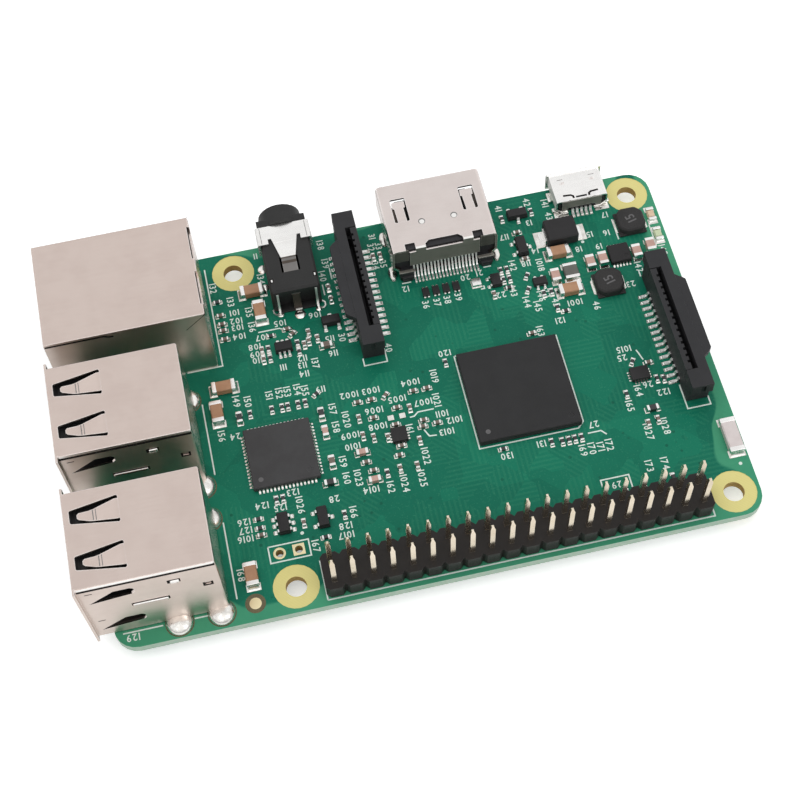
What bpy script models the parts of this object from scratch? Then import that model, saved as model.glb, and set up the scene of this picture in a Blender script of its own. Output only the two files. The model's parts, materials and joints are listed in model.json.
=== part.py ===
"""Single board computer the size of a bank card, with its ports, chips and flat-cable latches.

Board frame: x runs along the long side towards the display socket, y across towards the video port,
z up from the board's top face. Every piece hangs on one datum empty, which puts the model's origin
under the middle of the whole assembly, on the surface that the board stands on.
"""
import math

import bmesh
import bpy
from mathutils import Matrix, Vector

# Circuit board
BOARD_LENGTH = 0.0850
BOARD_WIDTH = 0.0560
BOARD_THICKNESS = 0.0014
BOARD_CORNER = 0.0030
HOLE_DIAMETER = 0.00275
HOLE_INSET = 0.0035
HOLE_FROM_PORTS = 0.0235
RING_DIAMETER = 0.0060
MASK_DEPTH = 0.00005
RESET_HOLE_DIAMETER = 0.0010
RESET_HOLE_CLEAR = 0.0022

# Fits shared by the pieces
SOLDER_GAP = 0.00005
SEAT_GAP = 0.00008
SLIDE_GAP = 0.00008
CUT_MARGIN = 0.0005

# Pin header
PITCH = 0.00254
HEADER_COLUMNS = 20
HEADER_ROWS = 2
HEADER_BASE = 0.00254
CELL_CHAMFER = 0.00048
PIN_WIDTH = 0.00064
PIN_HEIGHT = 0.0085
PIN_TAIL = 0.0017
PIN_TIP = 0.00055
PIN_TIP_SHARE = 0.45
PIN_HOLE_DIAMETER = 0.00112

# Stacked host ports
HOST_WIDTH = 0.0131
HOST_HEIGHT = 0.0150
HOST_LENGTH = 0.0170
HOST_OVERHANG = 0.0021
HOST_FRONT_INSET = 0.0090
HOST_REAR_SHIFT = 0.000325
HOST_SHEET = 0.0003
HOST_EDGE = 0.00036
HOST_LIP = 0.0006
HOST_LEG_WIDTH = 0.0012
HOST_LEG_SETBACKS = (0.0012, 0.0066)
HOST_LEG_HOLE = 0.0023
HOST_LEG_TAIL = 0.0014
HOST_FOOT_LENGTH = 0.0075
HOST_CORE_DEPTH = 0.0062
HOST_DIVIDER = 0.0031
HOST_TONGUE_WIDTH = 0.0111
HOST_TONGUE_THICKNESS = 0.0018
HOST_TONGUE_SETBACK = 0.0012
HOST_TONGUE_DROP = 0.0008
SPRING_SETBACK = 0.0008
SPRING_LENGTH = 0.0060
SPRING_TIP = 0.0009
SPRING_ROOT = 0.0027
SPRING_SLOT = 0.00044
SPRING_OFFSET = 0.00305
SPRING_BEND = 0.0023
SPRING_BEND_LENGTH = 0.0005
SPRING_DIP = 0.00055
SPRING_TIP_DIP = 0.00018
SIDE_SPRING_SETBACK = 0.0011
SIDE_SPRING_LENGTH = 0.0057
SIDE_SPRING_OPENING = 0.0024
SIDE_SPRING_RISE = 0.0007
SIDE_SPRING_CORNER = 0.0004
SIDE_SPRING_HEIGHTS = (0.0020, 0.0103)
SIDE_RIB_SETBACK = 0.0059
SIDE_RIB_LENGTH = 0.0044
SIDE_RIB_WIDTH = 0.0007
SIDE_RIB_HEIGHT = 0.0076
SIDE_RIB_RISE = 0.0002
SIDE_DIMPLE_SETBACK = 0.0154
SIDE_DIMPLE_SIDE = 0.0009
SIDE_DIMPLE_HEIGHT = 0.0092
SIDE_DIMPLE_DEPTH = 0.0002
SIDE_LANCE_SETBACK = 0.0111
SIDE_LANCE_LENGTH = 0.0010
SIDE_LANCE_WIDTH = 0.0004
SIDE_LANCE_HEIGHT = 0.0117

# Network jack
JACK_WIDTH = 0.0159
JACK_HEIGHT = 0.0135
JACK_LENGTH = 0.0212
JACK_OVERHANG = 0.0021
JACK_BACK_INSET = 0.01025
JACK_SHEET = 0.00025
JACK_EDGE = 0.0003
JACK_MOUTH_WIDTH = 0.0119
JACK_MOUTH_HEIGHT = 0.0068
JACK_MOUTH_FLOOR = 0.0034
JACK_MOUTH_DEPTH = 0.0135
JACK_CLIP_WIDTH = 0.0062
JACK_CLIP_DROP = 0.0018
JACK_LAMP_WIDTH = 0.0026
JACK_LAMP_HEIGHT = 0.0018
JACK_LAMP_DEPTH = 0.0060
JACK_LAMP_FLOOR = 0.0008
JACK_PEG_DIAMETER = 0.0032
JACK_PEG_SPREAD = 0.0057
JACK_PEG_SETBACK = 0.0080
JACK_PEG_TAIL = 0.0005
JACK_VENT_LENGTH = 0.0052
JACK_VENT_HEIGHT = 0.0009
JACK_VENT_DEPTH = 0.00036
JACK_VENT_SPREAD = 0.00365

# Video port
VIDEO_WIDTH = 0.0150
VIDEO_HEIGHT = 0.0062
VIDEO_DEPTH = 0.0115
VIDEO_OVERHANG = 0.0017
VIDEO_FROM_MIDDLE = 0.0105
VIDEO_SHEET = 0.0003
VIDEO_EDGE = 0.0006
VIDEO_CHAMFER_WIDTH = 0.0018
VIDEO_CHAMFER_HEIGHT = 0.0019
VIDEO_FLOOR = 0.0004
VIDEO_CORE_DEPTH = 0.0034
VIDEO_TONGUE_WIDTH = 0.0104
VIDEO_TONGUE_THICKNESS = 0.0019
VIDEO_TONGUE_SETBACK = 0.0016
VIDEO_FLAP_WIDTH = 0.0100
VIDEO_FLAP_DROP = 0.0038
VIDEO_FINGER_WIDTH = 0.0013
VIDEO_FINGER_LENGTH = 0.0040
VIDEO_FINGER_SLOT = 0.0004
VIDEO_FINGER_SPREAD = 0.0049
VIDEO_FINGER_SETBACK = 0.0026
VIDEO_FINGER_HEAD = 0.0018
VIDEO_FINGER_HEAD_LENGTH = 0.0009
VIDEO_FINGER_DIP = 0.0004
VIDEO_WINDOW_LENGTH = 0.0053
VIDEO_WINDOW_REACH = 0.0011
VIDEO_WINDOW_SLANT = 0.0006
VIDEO_WINDOW_DROP = 0.0007
VIDEO_NOTCH_LENGTH = 0.0014
VIDEO_NOTCH_OFFSET = 0.0048
VIDEO_DIMPLE_DIAMETER = 0.0009
VIDEO_DIMPLE_SPREAD = 0.0023
VIDEO_DIMPLE_SETBACK = 0.0071
VIDEO_DIMPLE_DEPTH = 0.00015
VIDEO_LEG_WIDTH = 0.0012
VIDEO_LEG_SETBACKS = (0.0016, 0.0074)

# Power port
POWER_WIDTH = 0.0076
POWER_HEIGHT = 0.0027
POWER_DEPTH = 0.0051
POWER_OVERHANG = 0.0006
POWER_FROM_END = 0.0106
POWER_SHEET = 0.00025
POWER_EDGE = 0.0004
POWER_CHAMFER_WIDTH = 0.0009
POWER_CHAMFER_HEIGHT = 0.0008
POWER_FLOOR = 0.0001
POWER_LIP = 0.0003
POWER_SLOT_WIDTH = 0.0003
POWER_SLOT_OFFSET = 0.0018
POWER_SLOT_REACH = 0.0011
POWER_SLOT_SPAN = 0.0013
POWER_WINDOW_LENGTH = 0.0016
POWER_WINDOW_SETBACK = 0.0003
POWER_CORE_DEPTH = 0.0016
POWER_TONGUE_WIDTH = 0.0036
POWER_TONGUE_THICKNESS = 0.0006
POWER_TONGUE_SETBACK = 0.0007

# Audio jack
AUDIO_WIDTH = 0.0069
AUDIO_LENGTH = 0.0120
AUDIO_HEIGHT = 0.0050
AUDIO_FROM_MIDDLE = -0.0110
AUDIO_BACK_OVERHANG = 0.0005
AUDIO_BARREL_DIAMETER = 0.0060
AUDIO_BARREL_LENGTH = 0.0018
AUDIO_BARREL_HEIGHT = 0.0026
AUDIO_BORE_DIAMETER = 0.0036
AUDIO_BORE_DEPTH = 0.0120
AUDIO_RECESS_WIDTH = 0.0054
AUDIO_RECESS_HEIGHT = 0.0040
AUDIO_RECESS_DEPTH = 0.0009
AUDIO_CLIP_THICKNESS = 0.0003
AUDIO_CLIP_LENGTH = 0.0030
AUDIO_CLIP_SKIRT = 0.0022
AUDIO_NOTCH_WIDTH = 0.0005
AUDIO_NOTCH_DEPTH = 0.0008
AUDIO_STEM_ROOT = 0.0036
AUDIO_STEM_TIP = 0.0021
AUDIO_STEM_LENGTH = 0.0026
AUDIO_STEM_DIP_LENGTH = 0.0022
AUDIO_STEM_DIP = 0.0007
AUDIO_STEM_CLEAR = 0.00025
AUDIO_CLIP_SETBACK = 0.0010

# Flat-cable sockets and their latches
SOCKET_LENGTH = 0.0206
SOCKET_WIDTH = 0.0030
SOCKET_BASE = 0.0029
SOCKET_HEIGHT = 0.0050
SOCKET_SLOT_WIDTH = 0.0007
SOCKET_SLOT_LENGTH = 0.0164
SOCKET_SLOT_OFFSET = 0.00025
SOCKET_SLOT_FLOOR = 0.0008
SOCKET_WAYS = 15
SOCKET_WAY_PITCH = 0.0010
SOCKET_COMB_WIDTH = 0.0004
SOCKET_COMB_DEPTH = 0.0003
LATCH_LENGTH = 0.0222
LATCH_WING_LENGTH = 0.0124
LATCH_WING_REACH = 0.0013
LATCH_WING_CHAMFER = 0.0006
LATCH_WING_THICKNESS = 0.0011
LATCH_LEG_WIDTH = 0.0008
LATCH_LEG_DEPTH = 0.0019
LATCH_LEG_INSET = 0.0010
LATCH_GROOVE_WIDTH = 0.0007
LATCH_GROOVE_DEPTH = 0.0004
LATCH_GROOVE_TOP = 0.00035
DISPLAY_FROM_END = 0.0040
DISPLAY_FROM_BACK = 0.0280
CAMERA_FROM_MIDDLE = -0.0023
CAMERA_FROM_BACK = 0.0114

# Card socket on the underside
CARD_WIDTH = 0.0138
CARD_LENGTH = 0.0142
CARD_HEIGHT = 0.00145
CARD_SHEET = 0.0002
CARD_FROM_END = 0.0004
CARD_FROM_BACK = 0.0280
CARD_SLOT_WIDTH = 0.0112
CARD_SLOT_LENGTH = 0.0122
CARD_BASE_PLATE = 0.0003

# Chips: length, width and height of each package, and its chamfer
CHIP_CHAMFER = 0.00012
CHIP_DIMPLE_DIAMETER = 0.0008
CHIP_DIMPLE_DEPTH = 0.00006
CHIP_DIMPLE_INSET = 0.0012
PROCESSOR_SIDE = 0.0140
PROCESSOR_HEIGHT = 0.00115
PROCESSOR_FROM_END = 0.0270
PROCESSOR_FROM_FRONT = 0.02445
HUB_SIDE = 0.0090
HUB_HEIGHT = 0.00085
HUB_FROM_PORTS = 0.02505
HUB_FROM_FRONT = 0.02225
POWER_CHIP_SIDE = 0.0030
POWER_CHIP_HEIGHT = 0.0008
POWER_CHIP_FROM_END = 0.00755
POWER_CHIP_FROM_BACK = 0.01345
MEMORY_LENGTH = 0.0115
MEMORY_WIDTH = 0.0100
MEMORY_HEIGHT = 0.0008
WIRELESS_LENGTH = 0.0048
WIRELESS_WIDTH = 0.0030
WIRELESS_HEIGHT = 0.0006
WIRELESS_FROM_END = 0.0110
WIRELESS_FROM_FRONT = 0.0130

# Small parts with leads or metal ends
INDUCTOR_SIDE = 0.0040
INDUCTOR_HEIGHT = 0.0014
INDUCTOR_CORNER = 0.0009
INDUCTOR_BASE = 0.0003
INDUCTOR_REAR_FROM_END = 0.00455
INDUCTOR_REAR_FROM_BACK = 0.0086
INDUCTOR_FRONT_FROM_END = 0.0104
INDUCTOR_FRONT_FROM_BACK = 0.0179
CHOKE_LENGTH = 0.0020
CHOKE_WIDTH = 0.0025
CHOKE_HEIGHT = 0.0009
CHOKE_FROM_END = 0.0150
CHOKE_FROM_BACK = 0.0148
DIODE_LENGTH = 0.0045
DIODE_WIDTH = 0.0036
DIODE_HEIGHT = 0.0022
DIODE_TAPER = 0.0002
DIODE_LEAD_REACH = 0.0008
DIODE_LEAD_WIDTH = 0.0022
DIODE_LEAD_THICKNESS = 0.0002
DIODE_LEAD_RISE = 0.0011
DIODE_FROM_END = 0.0148
DIODE_FROM_BACK = 0.0083
CAPACITOR_LENGTH = 0.0032
CAPACITOR_WIDTH = 0.0016
CAPACITOR_HEIGHT = 0.0012
CAPACITOR_EDGE = 0.00012
CAPACITOR_AUDIO_REAR_GAP = 0.00055
CAPACITOR_AUDIO_REAR_INSET = 0.0075
CAPACITOR_AUDIO_FRONT_GAP = 0.00085
CAPACITOR_AUDIO_FRONT_INSET = 0.0111
CAPACITOR_PORT_REAR_GAP = 0.0027
CAPACITOR_PORT_REAR_OFFSET = 0.0070
CAPACITOR_PORT_MIDDLE_GAP = 0.0020
CAPACITOR_PORT_MIDDLE_OFFSET = 0.0033
CAPACITOR_PORT_FRONT_GAP = 0.0025
CAPACITOR_PORT_FRONT_INSET = 0.0061
CAPACITOR_POWER_FROM_END = 0.0159
CAPACITOR_POWER_REAR_INSET = 0.01125
CAPACITOR_POWER_FRONT_INSET = 0.0177
LAMP_LENGTH = 0.0021
LAMP_WIDTH = 0.0011
LAMP_HEIGHT = 0.0006
LAMP_BASE = 0.00025
LAMP_FROM_END = 0.0012
LAMP_FROM_BACK = 0.0079
LAMP_PITCH = 0.0035
ANTENNA_LENGTH = 0.0050
ANTENNA_WIDTH = 0.0020
ANTENNA_HEIGHT = 0.0011
ANTENNA_FROM_END = 0.0014
ANTENNA_FROM_FRONT = 0.0111
FUSE_LENGTH = 0.0045
FUSE_WIDTH = 0.0032
FUSE_HEIGHT = 0.0008
FUSE_FROM_END = 0.0106
FUSE_FROM_BACK = 0.0075

# Facets
HOLE_SIDES = 24
SMALL_HOLE_SIDES = 8
CORNER_STEPS = 5
MILLIMETRES = 1000.0

# Edges of the board and its two faces
END_X = BOARD_LENGTH / 2
PORT_X = -BOARD_LENGTH / 2
BACK_Y = BOARD_WIDTH / 2
FRONT_Y = -BOARD_WIDTH / 2
TOP_Z = 0.0
UNDER_Z = -BOARD_THICKNESS
SEAT_Z = TOP_Z + SOLDER_GAP
UNDER_SEAT_Z = UNDER_Z - SOLDER_GAP

# Places that several pieces share
HOLE_RIGHT_X = END_X - HOLE_INSET
HOLE_LEFT_X = PORT_X + HOLE_FROM_PORTS
HOLE_BACK_Y = BACK_Y - HOLE_INSET
HOLE_FRONT_Y = FRONT_Y + HOLE_INSET
HEADER_X = (HOLE_LEFT_X + HOLE_RIGHT_X) / 2
HEADER_Y = HOLE_FRONT_Y
HOST_MOUTH_X = PORT_X - HOST_OVERHANG
HOST_REAR_X = HOST_MOUTH_X + HOST_LENGTH
HOST_FRONT_Y = FRONT_Y + HOST_FRONT_INSET
JACK_MOUTH_X = PORT_X - JACK_OVERHANG
JACK_REAR_X = JACK_MOUTH_X + JACK_LENGTH
JACK_Y = BACK_Y - JACK_BACK_INSET
HOST_GAP_FRONT_Y = HOST_FRONT_Y + HOST_WIDTH / 2
HOST_GAP_BACK_Y = JACK_Y - JACK_WIDTH / 2
HOST_BACK_Y = (HOST_GAP_FRONT_Y + HOST_GAP_BACK_Y) / 2 + HOST_REAR_SHIFT
AUDIO_X = AUDIO_FROM_MIDDLE
AUDIO_REACH = AUDIO_BACK_OVERHANG + AUDIO_BARREL_LENGTH
PROCESSOR_X = END_X - PROCESSOR_FROM_END
PROCESSOR_Y = FRONT_Y + PROCESSOR_FROM_FRONT

# Capacitors: name, place of the centre, and whether the long side runs along y
AUDIO_SIDE_X = AUDIO_X - AUDIO_WIDTH / 2 - AUDIO_CLIP_THICKNESS
CAPACITORS = (
    ("capacitor_audio_rear", AUDIO_SIDE_X - CAPACITOR_AUDIO_REAR_GAP - CAPACITOR_LENGTH / 2,
     BACK_Y - CAPACITOR_AUDIO_REAR_INSET, False),
    ("capacitor_audio_front", AUDIO_SIDE_X - CAPACITOR_AUDIO_FRONT_GAP - CAPACITOR_WIDTH / 2,
     BACK_Y - CAPACITOR_AUDIO_FRONT_INSET, True),
    ("capacitor_port_rear", HOST_REAR_X + CAPACITOR_PORT_REAR_GAP + CAPACITOR_LENGTH / 2,
     HOST_BACK_Y + CAPACITOR_PORT_REAR_OFFSET, False),
    ("capacitor_port_middle", HOST_REAR_X + CAPACITOR_PORT_MIDDLE_GAP + CAPACITOR_WIDTH / 2,
     HOST_BACK_Y + CAPACITOR_PORT_MIDDLE_OFFSET, True),
    ("capacitor_port_front", HOST_REAR_X + CAPACITOR_PORT_FRONT_GAP + CAPACITOR_WIDTH / 2,
     FRONT_Y + CAPACITOR_PORT_FRONT_INSET, True),
    ("capacitor_power_rear", END_X - CAPACITOR_POWER_FROM_END, BACK_Y - CAPACITOR_POWER_REAR_INSET, False),
    ("capacitor_power_front", END_X - CAPACITOR_POWER_FROM_END, BACK_Y - CAPACITOR_POWER_FRONT_INSET, False),
)

PARTS = bpy.data.collections.new("single_board_computer")
CUTTERS = bpy.data.collections.new("cutters")


def clear_scene():
    """Removes what the scene holds and links the two collections."""
    for old in list(bpy.data.objects):
        bpy.data.objects.remove(old, do_unlink=True)
    bpy.context.scene.collection.children.link(PARTS)
    bpy.context.scene.collection.children.link(CUTTERS)


def paint(name, colour, roughness, metallic=0.0):
    """A plain finish for one kind of piece."""
    finish = bpy.data.materials.new(name)
    finish.use_nodes = True
    shader = finish.node_tree.nodes["Principled BSDF"]
    shader.inputs["Base Color"].default_value = (*colour, 1.0)
    shader.inputs["Roughness"].default_value = roughness
    shader.inputs["Metallic"].default_value = metallic
    finish.diffuse_color = (*colour, 1.0)
    return finish


def tool(name, mesh):
    """A helper body that cuts or joins and isn't a piece itself."""
    body = bpy.data.objects.new(name, mesh)
    CUTTERS.objects.link(body)
    body.parent = DATUM
    body.hide_render = True
    body.display_type = "WIRE"
    return body


def piece(body, name, finish, smooth=False):
    """Makes a helper body into a named piece of the product."""
    CUTTERS.objects.unlink(body)
    PARTS.objects.link(body)
    body.name = name
    body.hide_render = False
    body.display_type = "TEXTURED"
    body.data.materials.clear()
    body.data.materials.append(finish)
    if smooth:
        body.data.shade_smooth()
        body.data.set_sharp_from_angle(angle=math.radians(35))
    return body


def mesh_from(name, build):
    """Runs a bmesh recipe and returns the mesh."""
    bm = bmesh.new()
    build(bm)
    mesh = bpy.data.meshes.new(name)
    bm.to_mesh(mesh)
    bm.free()
    return mesh


def add_cube(bm, low, high):
    """Adds a block between two corners."""
    low, high = Vector(low), Vector(high)
    place = Matrix.Translation((low + high) / 2) @ Matrix.Diagonal((high - low).to_4d())
    return bmesh.ops.create_cube(bm, size=1.0, matrix=place)["verts"]


def blocks(name, corners):
    """One helper body of several blocks, each given by two corners."""
    def build(bm):
        for low, high in corners:
            add_cube(bm, [min(pair) for pair in zip(low, high)], [max(pair) for pair in zip(low, high)])
    return tool(name, mesh_from(name, build))


def block(name, low, high):
    """A helper body of one block."""
    return blocks(name, [(low, high)])


AXIS_TURNS = {
    "Z": Matrix.Identity(4),
    "Y": Matrix.Rotation(math.radians(90), 4, "X"),
    "X": Matrix(((0, 0, 1, 0), (1, 0, 0, 0), (0, 1, 0, 0), (0, 0, 0, 1))),
}


def cylinders(name, diameter, ends, axis="Z", sides=HOLE_SIDES, tip_diameter=None):
    """One helper body of round bars along an axis, each given by its two end points."""
    def build(bm):
        for low, high in ends:
            low, high = Vector(low), Vector(high)
            place = Matrix.Translation((low + high) / 2) @ AXIS_TURNS[axis]
            bmesh.ops.create_cone(
                bm, cap_ends=True, segments=sides, radius1=diameter / 2,
                radius2=(tip_diameter or diameter) / 2, depth=(high - low).length, matrix=place)
    return tool(name, mesh_from(name, build))


def prism(name, outline, low, high, axis="Z"):
    """A flat outline extruded along an axis between two heights.

    The outline is in x and y for axis Z, in x and z for axis Y, and in y and z for axis X.
    """
    curve = bpy.data.curves.new(name, "CURVE")
    curve.dimensions = "2D"
    curve.fill_mode = "BOTH"
    curve.extrude = (high - low) / 2 * MILLIMETRES
    spline = curve.splines.new("POLY")
    spline.points.add(len(outline) - 1)
    for point, (u, v) in zip(spline.points, outline):
        point.co = (u * MILLIMETRES, v * MILLIMETRES, 0.0, 1.0)
    spline.use_cyclic_u = True
    drawn = bpy.data.objects.new(name, curve)
    CUTTERS.objects.link(drawn)
    depsgraph = bpy.context.evaluated_depsgraph_get()
    mesh = bpy.data.meshes.new_from_object(drawn.evaluated_get(depsgraph))
    bpy.data.objects.remove(drawn, do_unlink=True)
    bm = bmesh.new()
    bm.from_mesh(mesh)
    bmesh.ops.remove_doubles(bm, verts=bm.verts, dist=0.0001)
    bmesh.ops.dissolve_limit(bm, angle_limit=0.001, verts=bm.verts, edges=bm.edges)
    bmesh.ops.recalc_face_normals(bm, faces=bm.faces)
    bmesh.ops.scale(bm, vec=Vector((1, 1, 1)) / MILLIMETRES, verts=bm.verts)
    bmesh.ops.translate(bm, vec=(0, 0, (low + high) / 2 * (-1 if axis == "Y" else 1)), verts=bm.verts)
    bmesh.ops.transform(bm, matrix=AXIS_TURNS[axis], verts=bm.verts)
    bm.to_mesh(mesh)
    bm.free()
    return tool(name, mesh)


def join_or_cut(body, other, operation):
    """Adds a Boolean step to a body."""
    step = body.modifiers.new(other.name, "BOOLEAN")
    step.operation = operation
    step.object = other
    step.solver = "EXACT"
    return body


def cut(body, *others):
    """Takes helper bodies out of a body."""
    for other in others:
        join_or_cut(body, other, "DIFFERENCE")
    return body


def fuse(body, *others):
    """Joins helper bodies to a body."""
    for other in others:
        join_or_cut(body, other, "UNION")
    return body


def soften(body, width, steps=1):
    """Rounds or chamfers the sharp edges of a body."""
    edge = body.modifiers.new("edges", "BEVEL")
    edge.width = width
    edge.segments = steps
    edge.limit_method = "ANGLE"
    edge.angle_limit = math.radians(40)
    return body


def sheet_box(name, low, high, thickness, edge, open_sides):
    """A box folded from sheet metal, with some sides left open."""
    def build(bm):
        add_cube(bm, low, high)
        bm.normal_update()
        gone = [face for face in bm.faces if any(face.normal.dot(Vector(side)) > 0.9 for side in open_sides)]
        bmesh.ops.delete(bm, geom=gone, context="FACES")
    body = tool(name, mesh_from(name, build))
    soften(body, edge, 2)
    skin = body.modifiers.new("sheet", "SOLIDIFY")
    skin.thickness = thickness
    skin.offset = -1.0
    skin.use_even_offset = True
    return body


def arc(centre, radius, start, end, steps):
    """Points along an arc, with both ends, angles in degrees."""
    turns = [math.radians(start + (end - start) * step / steps) for step in range(steps + 1)]
    return [(centre[0] + radius * math.cos(turn), centre[1] + radius * math.sin(turn)) for turn in turns]


def rounded_rectangle(width, height, radius, steps=CORNER_STEPS):
    """The outline of a rectangle with round corners about the origin."""
    points = []
    for corner, (sx, sy) in enumerate(((1, 1), (-1, 1), (-1, -1), (1, -1))):
        centre = (sx * (width / 2 - radius), sy * (height / 2 - radius))
        points += arc(centre, radius, 90 * corner, 90 * corner + 90, steps)
    return points


def grid(columns, rows, pitch_x, pitch_y, centre):
    """Places in rows and columns about a centre."""
    return [
        (centre[0] + (column - (columns - 1) / 2) * pitch_x, centre[1] + (row - (rows - 1) / 2) * pitch_y)
        for row in range(rows) for column in range(columns)]


def mounting_holes():
    """Centres of the four mounting holes."""
    return [(x, y) for x in (HOLE_LEFT_X, HOLE_RIGHT_X) for y in (HOLE_FRONT_Y, HOLE_BACK_Y)]


def header_pins():
    """Centres of the header's pins."""
    return grid(HEADER_COLUMNS, HEADER_ROWS, PITCH, PITCH, (HEADER_X, HEADER_Y))


def host_legs(centre_y):
    """Centres of the shell legs of one host port, in the plane of its side sheets."""
    side = HOST_WIDTH / 2 - HOST_SHEET / 2
    return [(HOST_REAR_X - setback, centre_y + sign * side) for sign in (-1, 1) for setback in HOST_LEG_SETBACKS]


def jack_pegs():
    """Centres of the two plastic pegs that hold the network jack."""
    return [(JACK_REAR_X - JACK_PEG_SETBACK, JACK_Y + sign * JACK_PEG_SPREAD) for sign in (-1, 1)]


def through(centres):
    """End points of cutters that pass right through the board."""
    return [((x, y, UNDER_Z - CUT_MARGIN), (x, y, TOP_Z + CUT_MARGIN)) for x, y in centres]


def circuit_board():
    """The board with its mounting holes, mask-free rings, and the holes for pins, legs and pegs."""
    body = prism("board_blank", rounded_rectangle(BOARD_LENGTH, BOARD_WIDTH, BOARD_CORNER), UNDER_Z, TOP_Z)
    rings = []
    for x, y in mounting_holes():
        rings.append(((x, y, TOP_Z - MASK_DEPTH), (x, y, TOP_Z + CUT_MARGIN)))
        rings.append(((x, y, UNDER_Z - CUT_MARGIN), (x, y, UNDER_Z + MASK_DEPTH)))
    reset_y = HOLE_FRONT_Y + RING_DIAMETER / 2 + RESET_HOLE_CLEAR - RESET_HOLE_DIAMETER / 4
    reset_pads = grid(2, 1, PITCH, PITCH, (HOLE_LEFT_X, reset_y))
    legs = host_legs(HOST_FRONT_Y) + host_legs(HOST_BACK_Y)
    cut(
        body,
        cylinders("mask_rings", RING_DIAMETER, rings),
        cylinders("mounting_holes", HOLE_DIAMETER, through(mounting_holes())),
        cylinders("pin_holes", PIN_HOLE_DIAMETER, through(header_pins()), sides=SMALL_HOLE_SIDES),
        cylinders("reset_holes", RESET_HOLE_DIAMETER, through(reset_pads), sides=SMALL_HOLE_SIDES),
        cylinders("leg_holes", HOST_LEG_HOLE, through(legs), sides=SMALL_HOLE_SIDES),
        cylinders("peg_holes", JACK_PEG_DIAMETER + 2 * SEAT_GAP, through(jack_pegs()), sides=HOLE_SIDES))
    return piece(body, "circuit_board", GREEN_MASK)


def add_pin(bm, x, y, low, high):
    """Adds one square pin with both ends drawn to a blunt point."""
    half = PIN_WIDTH / 2
    shaft = add_cube(bm, (x - half, y - half, low + PIN_TIP), (x + half, y + half, high - PIN_TIP))
    bm.normal_update()
    faces = {face for vert in shaft for face in vert.link_faces}
    caps = [next(face for face in faces if face.normal.z * end > 0.9) for end in (1, -1)]
    for cap, height in zip(caps, (high, low)):
        tip = bmesh.ops.extrude_discrete_faces(bm, faces=[cap])["faces"][0]
        bmesh.ops.translate(bm, verts=tip.verts, vec=(0, 0, height - tip.verts[0].co.z))
        bmesh.ops.scale(
            bm, verts=tip.verts, vec=(PIN_TIP_SHARE, PIN_TIP_SHARE, 1.0), space=Matrix.Translation((-x, -y, 0)))


def pin_header():
    """The long header: plastic cells with their pins pressed through and reaching under the board."""
    half_length = HEADER_COLUMNS * PITCH / 2
    half_width = HEADER_ROWS * PITCH / 2
    top = SEAT_Z + HEADER_BASE
    body = block(
        "header_strip", (HEADER_X - half_length, HEADER_Y - half_width, SEAT_Z),
        (HEADER_X + half_length, HEADER_Y + half_width, top))
    notches = grid(HEADER_COLUMNS + 1, 2, PITCH, HEADER_ROWS * PITCH, (HEADER_X, HEADER_Y))
    ends = [((x, y, SEAT_Z - CUT_MARGIN), (x, y, top + CUT_MARGIN)) for x, y in notches]
    cut(body, cylinders("header_notches", 2 * CELL_CHAMFER, ends, sides=4))

    def build(bm):
        for x, y in header_pins():
            add_pin(bm, x, y, UNDER_Z - PIN_TAIL, PIN_HEIGHT)
    fuse(body, tool("pins", mesh_from("pins", build)))
    return piece(body, "pin_header", BLACK_PLASTIC)


def spring_opening(length, tip, root, slot):
    """The opening round a tapered spring tongue, as distances along from its tip end and across."""
    nip = slot / 3
    half = [
        (0.0, tip / 2 + slot - nip), (nip, tip / 2 + slot),
        (length - nip, root / 2 + slot), (length, root / 2 + slot - nip)]
    return half + [(along, -across) for along, across in reversed(half)]


def spring_tongue(name, stations, thickness, place):
    """A bent strip through stations, each a distance along, a half width and how far its face lies down."""
    def build(bm):
        rings = []
        for along, half, drop in stations:
            corners = ((half, drop), (-half, drop), (-half, drop + thickness), (half, drop + thickness))
            rings.append([bm.verts.new(place(along, across, down)) for across, down in corners])
        for ring, following in zip(rings, rings[1:]):
            for side in range(4):
                bm.faces.new((ring[side], ring[side - 1], following[side - 1], following[side]))
        bm.faces.new(rings[0])
        bm.faces.new(rings[-1])
        bmesh.ops.recalc_face_normals(bm, faces=bm.faces)
    return tool(name, mesh_from(name, build))


def host_tongue(name, place):
    """The spring tongue of a host port: it dips from its root to a bend and rises again to its tip."""
    free = 2 * SPRING_SLOT
    flush = HOST_SHEET * 0.05
    spread = (SPRING_ROOT - SPRING_TIP) / 2 / (SPRING_LENGTH - free)

    def half_width(along):
        return SPRING_TIP / 2 + spread * (along - free)

    far_bend = SPRING_BEND + SPRING_BEND_LENGTH
    stations = [
        (free, SPRING_TIP / 4, SPRING_TIP_DIP), (free + SPRING_SLOT / 2, half_width(free), SPRING_TIP_DIP),
        (SPRING_BEND, half_width(SPRING_BEND), SPRING_DIP), (far_bend, half_width(far_bend), SPRING_DIP),
        (SPRING_LENGTH - SPRING_SLOT, half_width(SPRING_LENGTH), flush),
        (SPRING_LENGTH + SPRING_SLOT, half_width(SPRING_LENGTH), flush)]
    return spring_tongue(name, stations, HOST_SHEET * 0.9, place)


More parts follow.
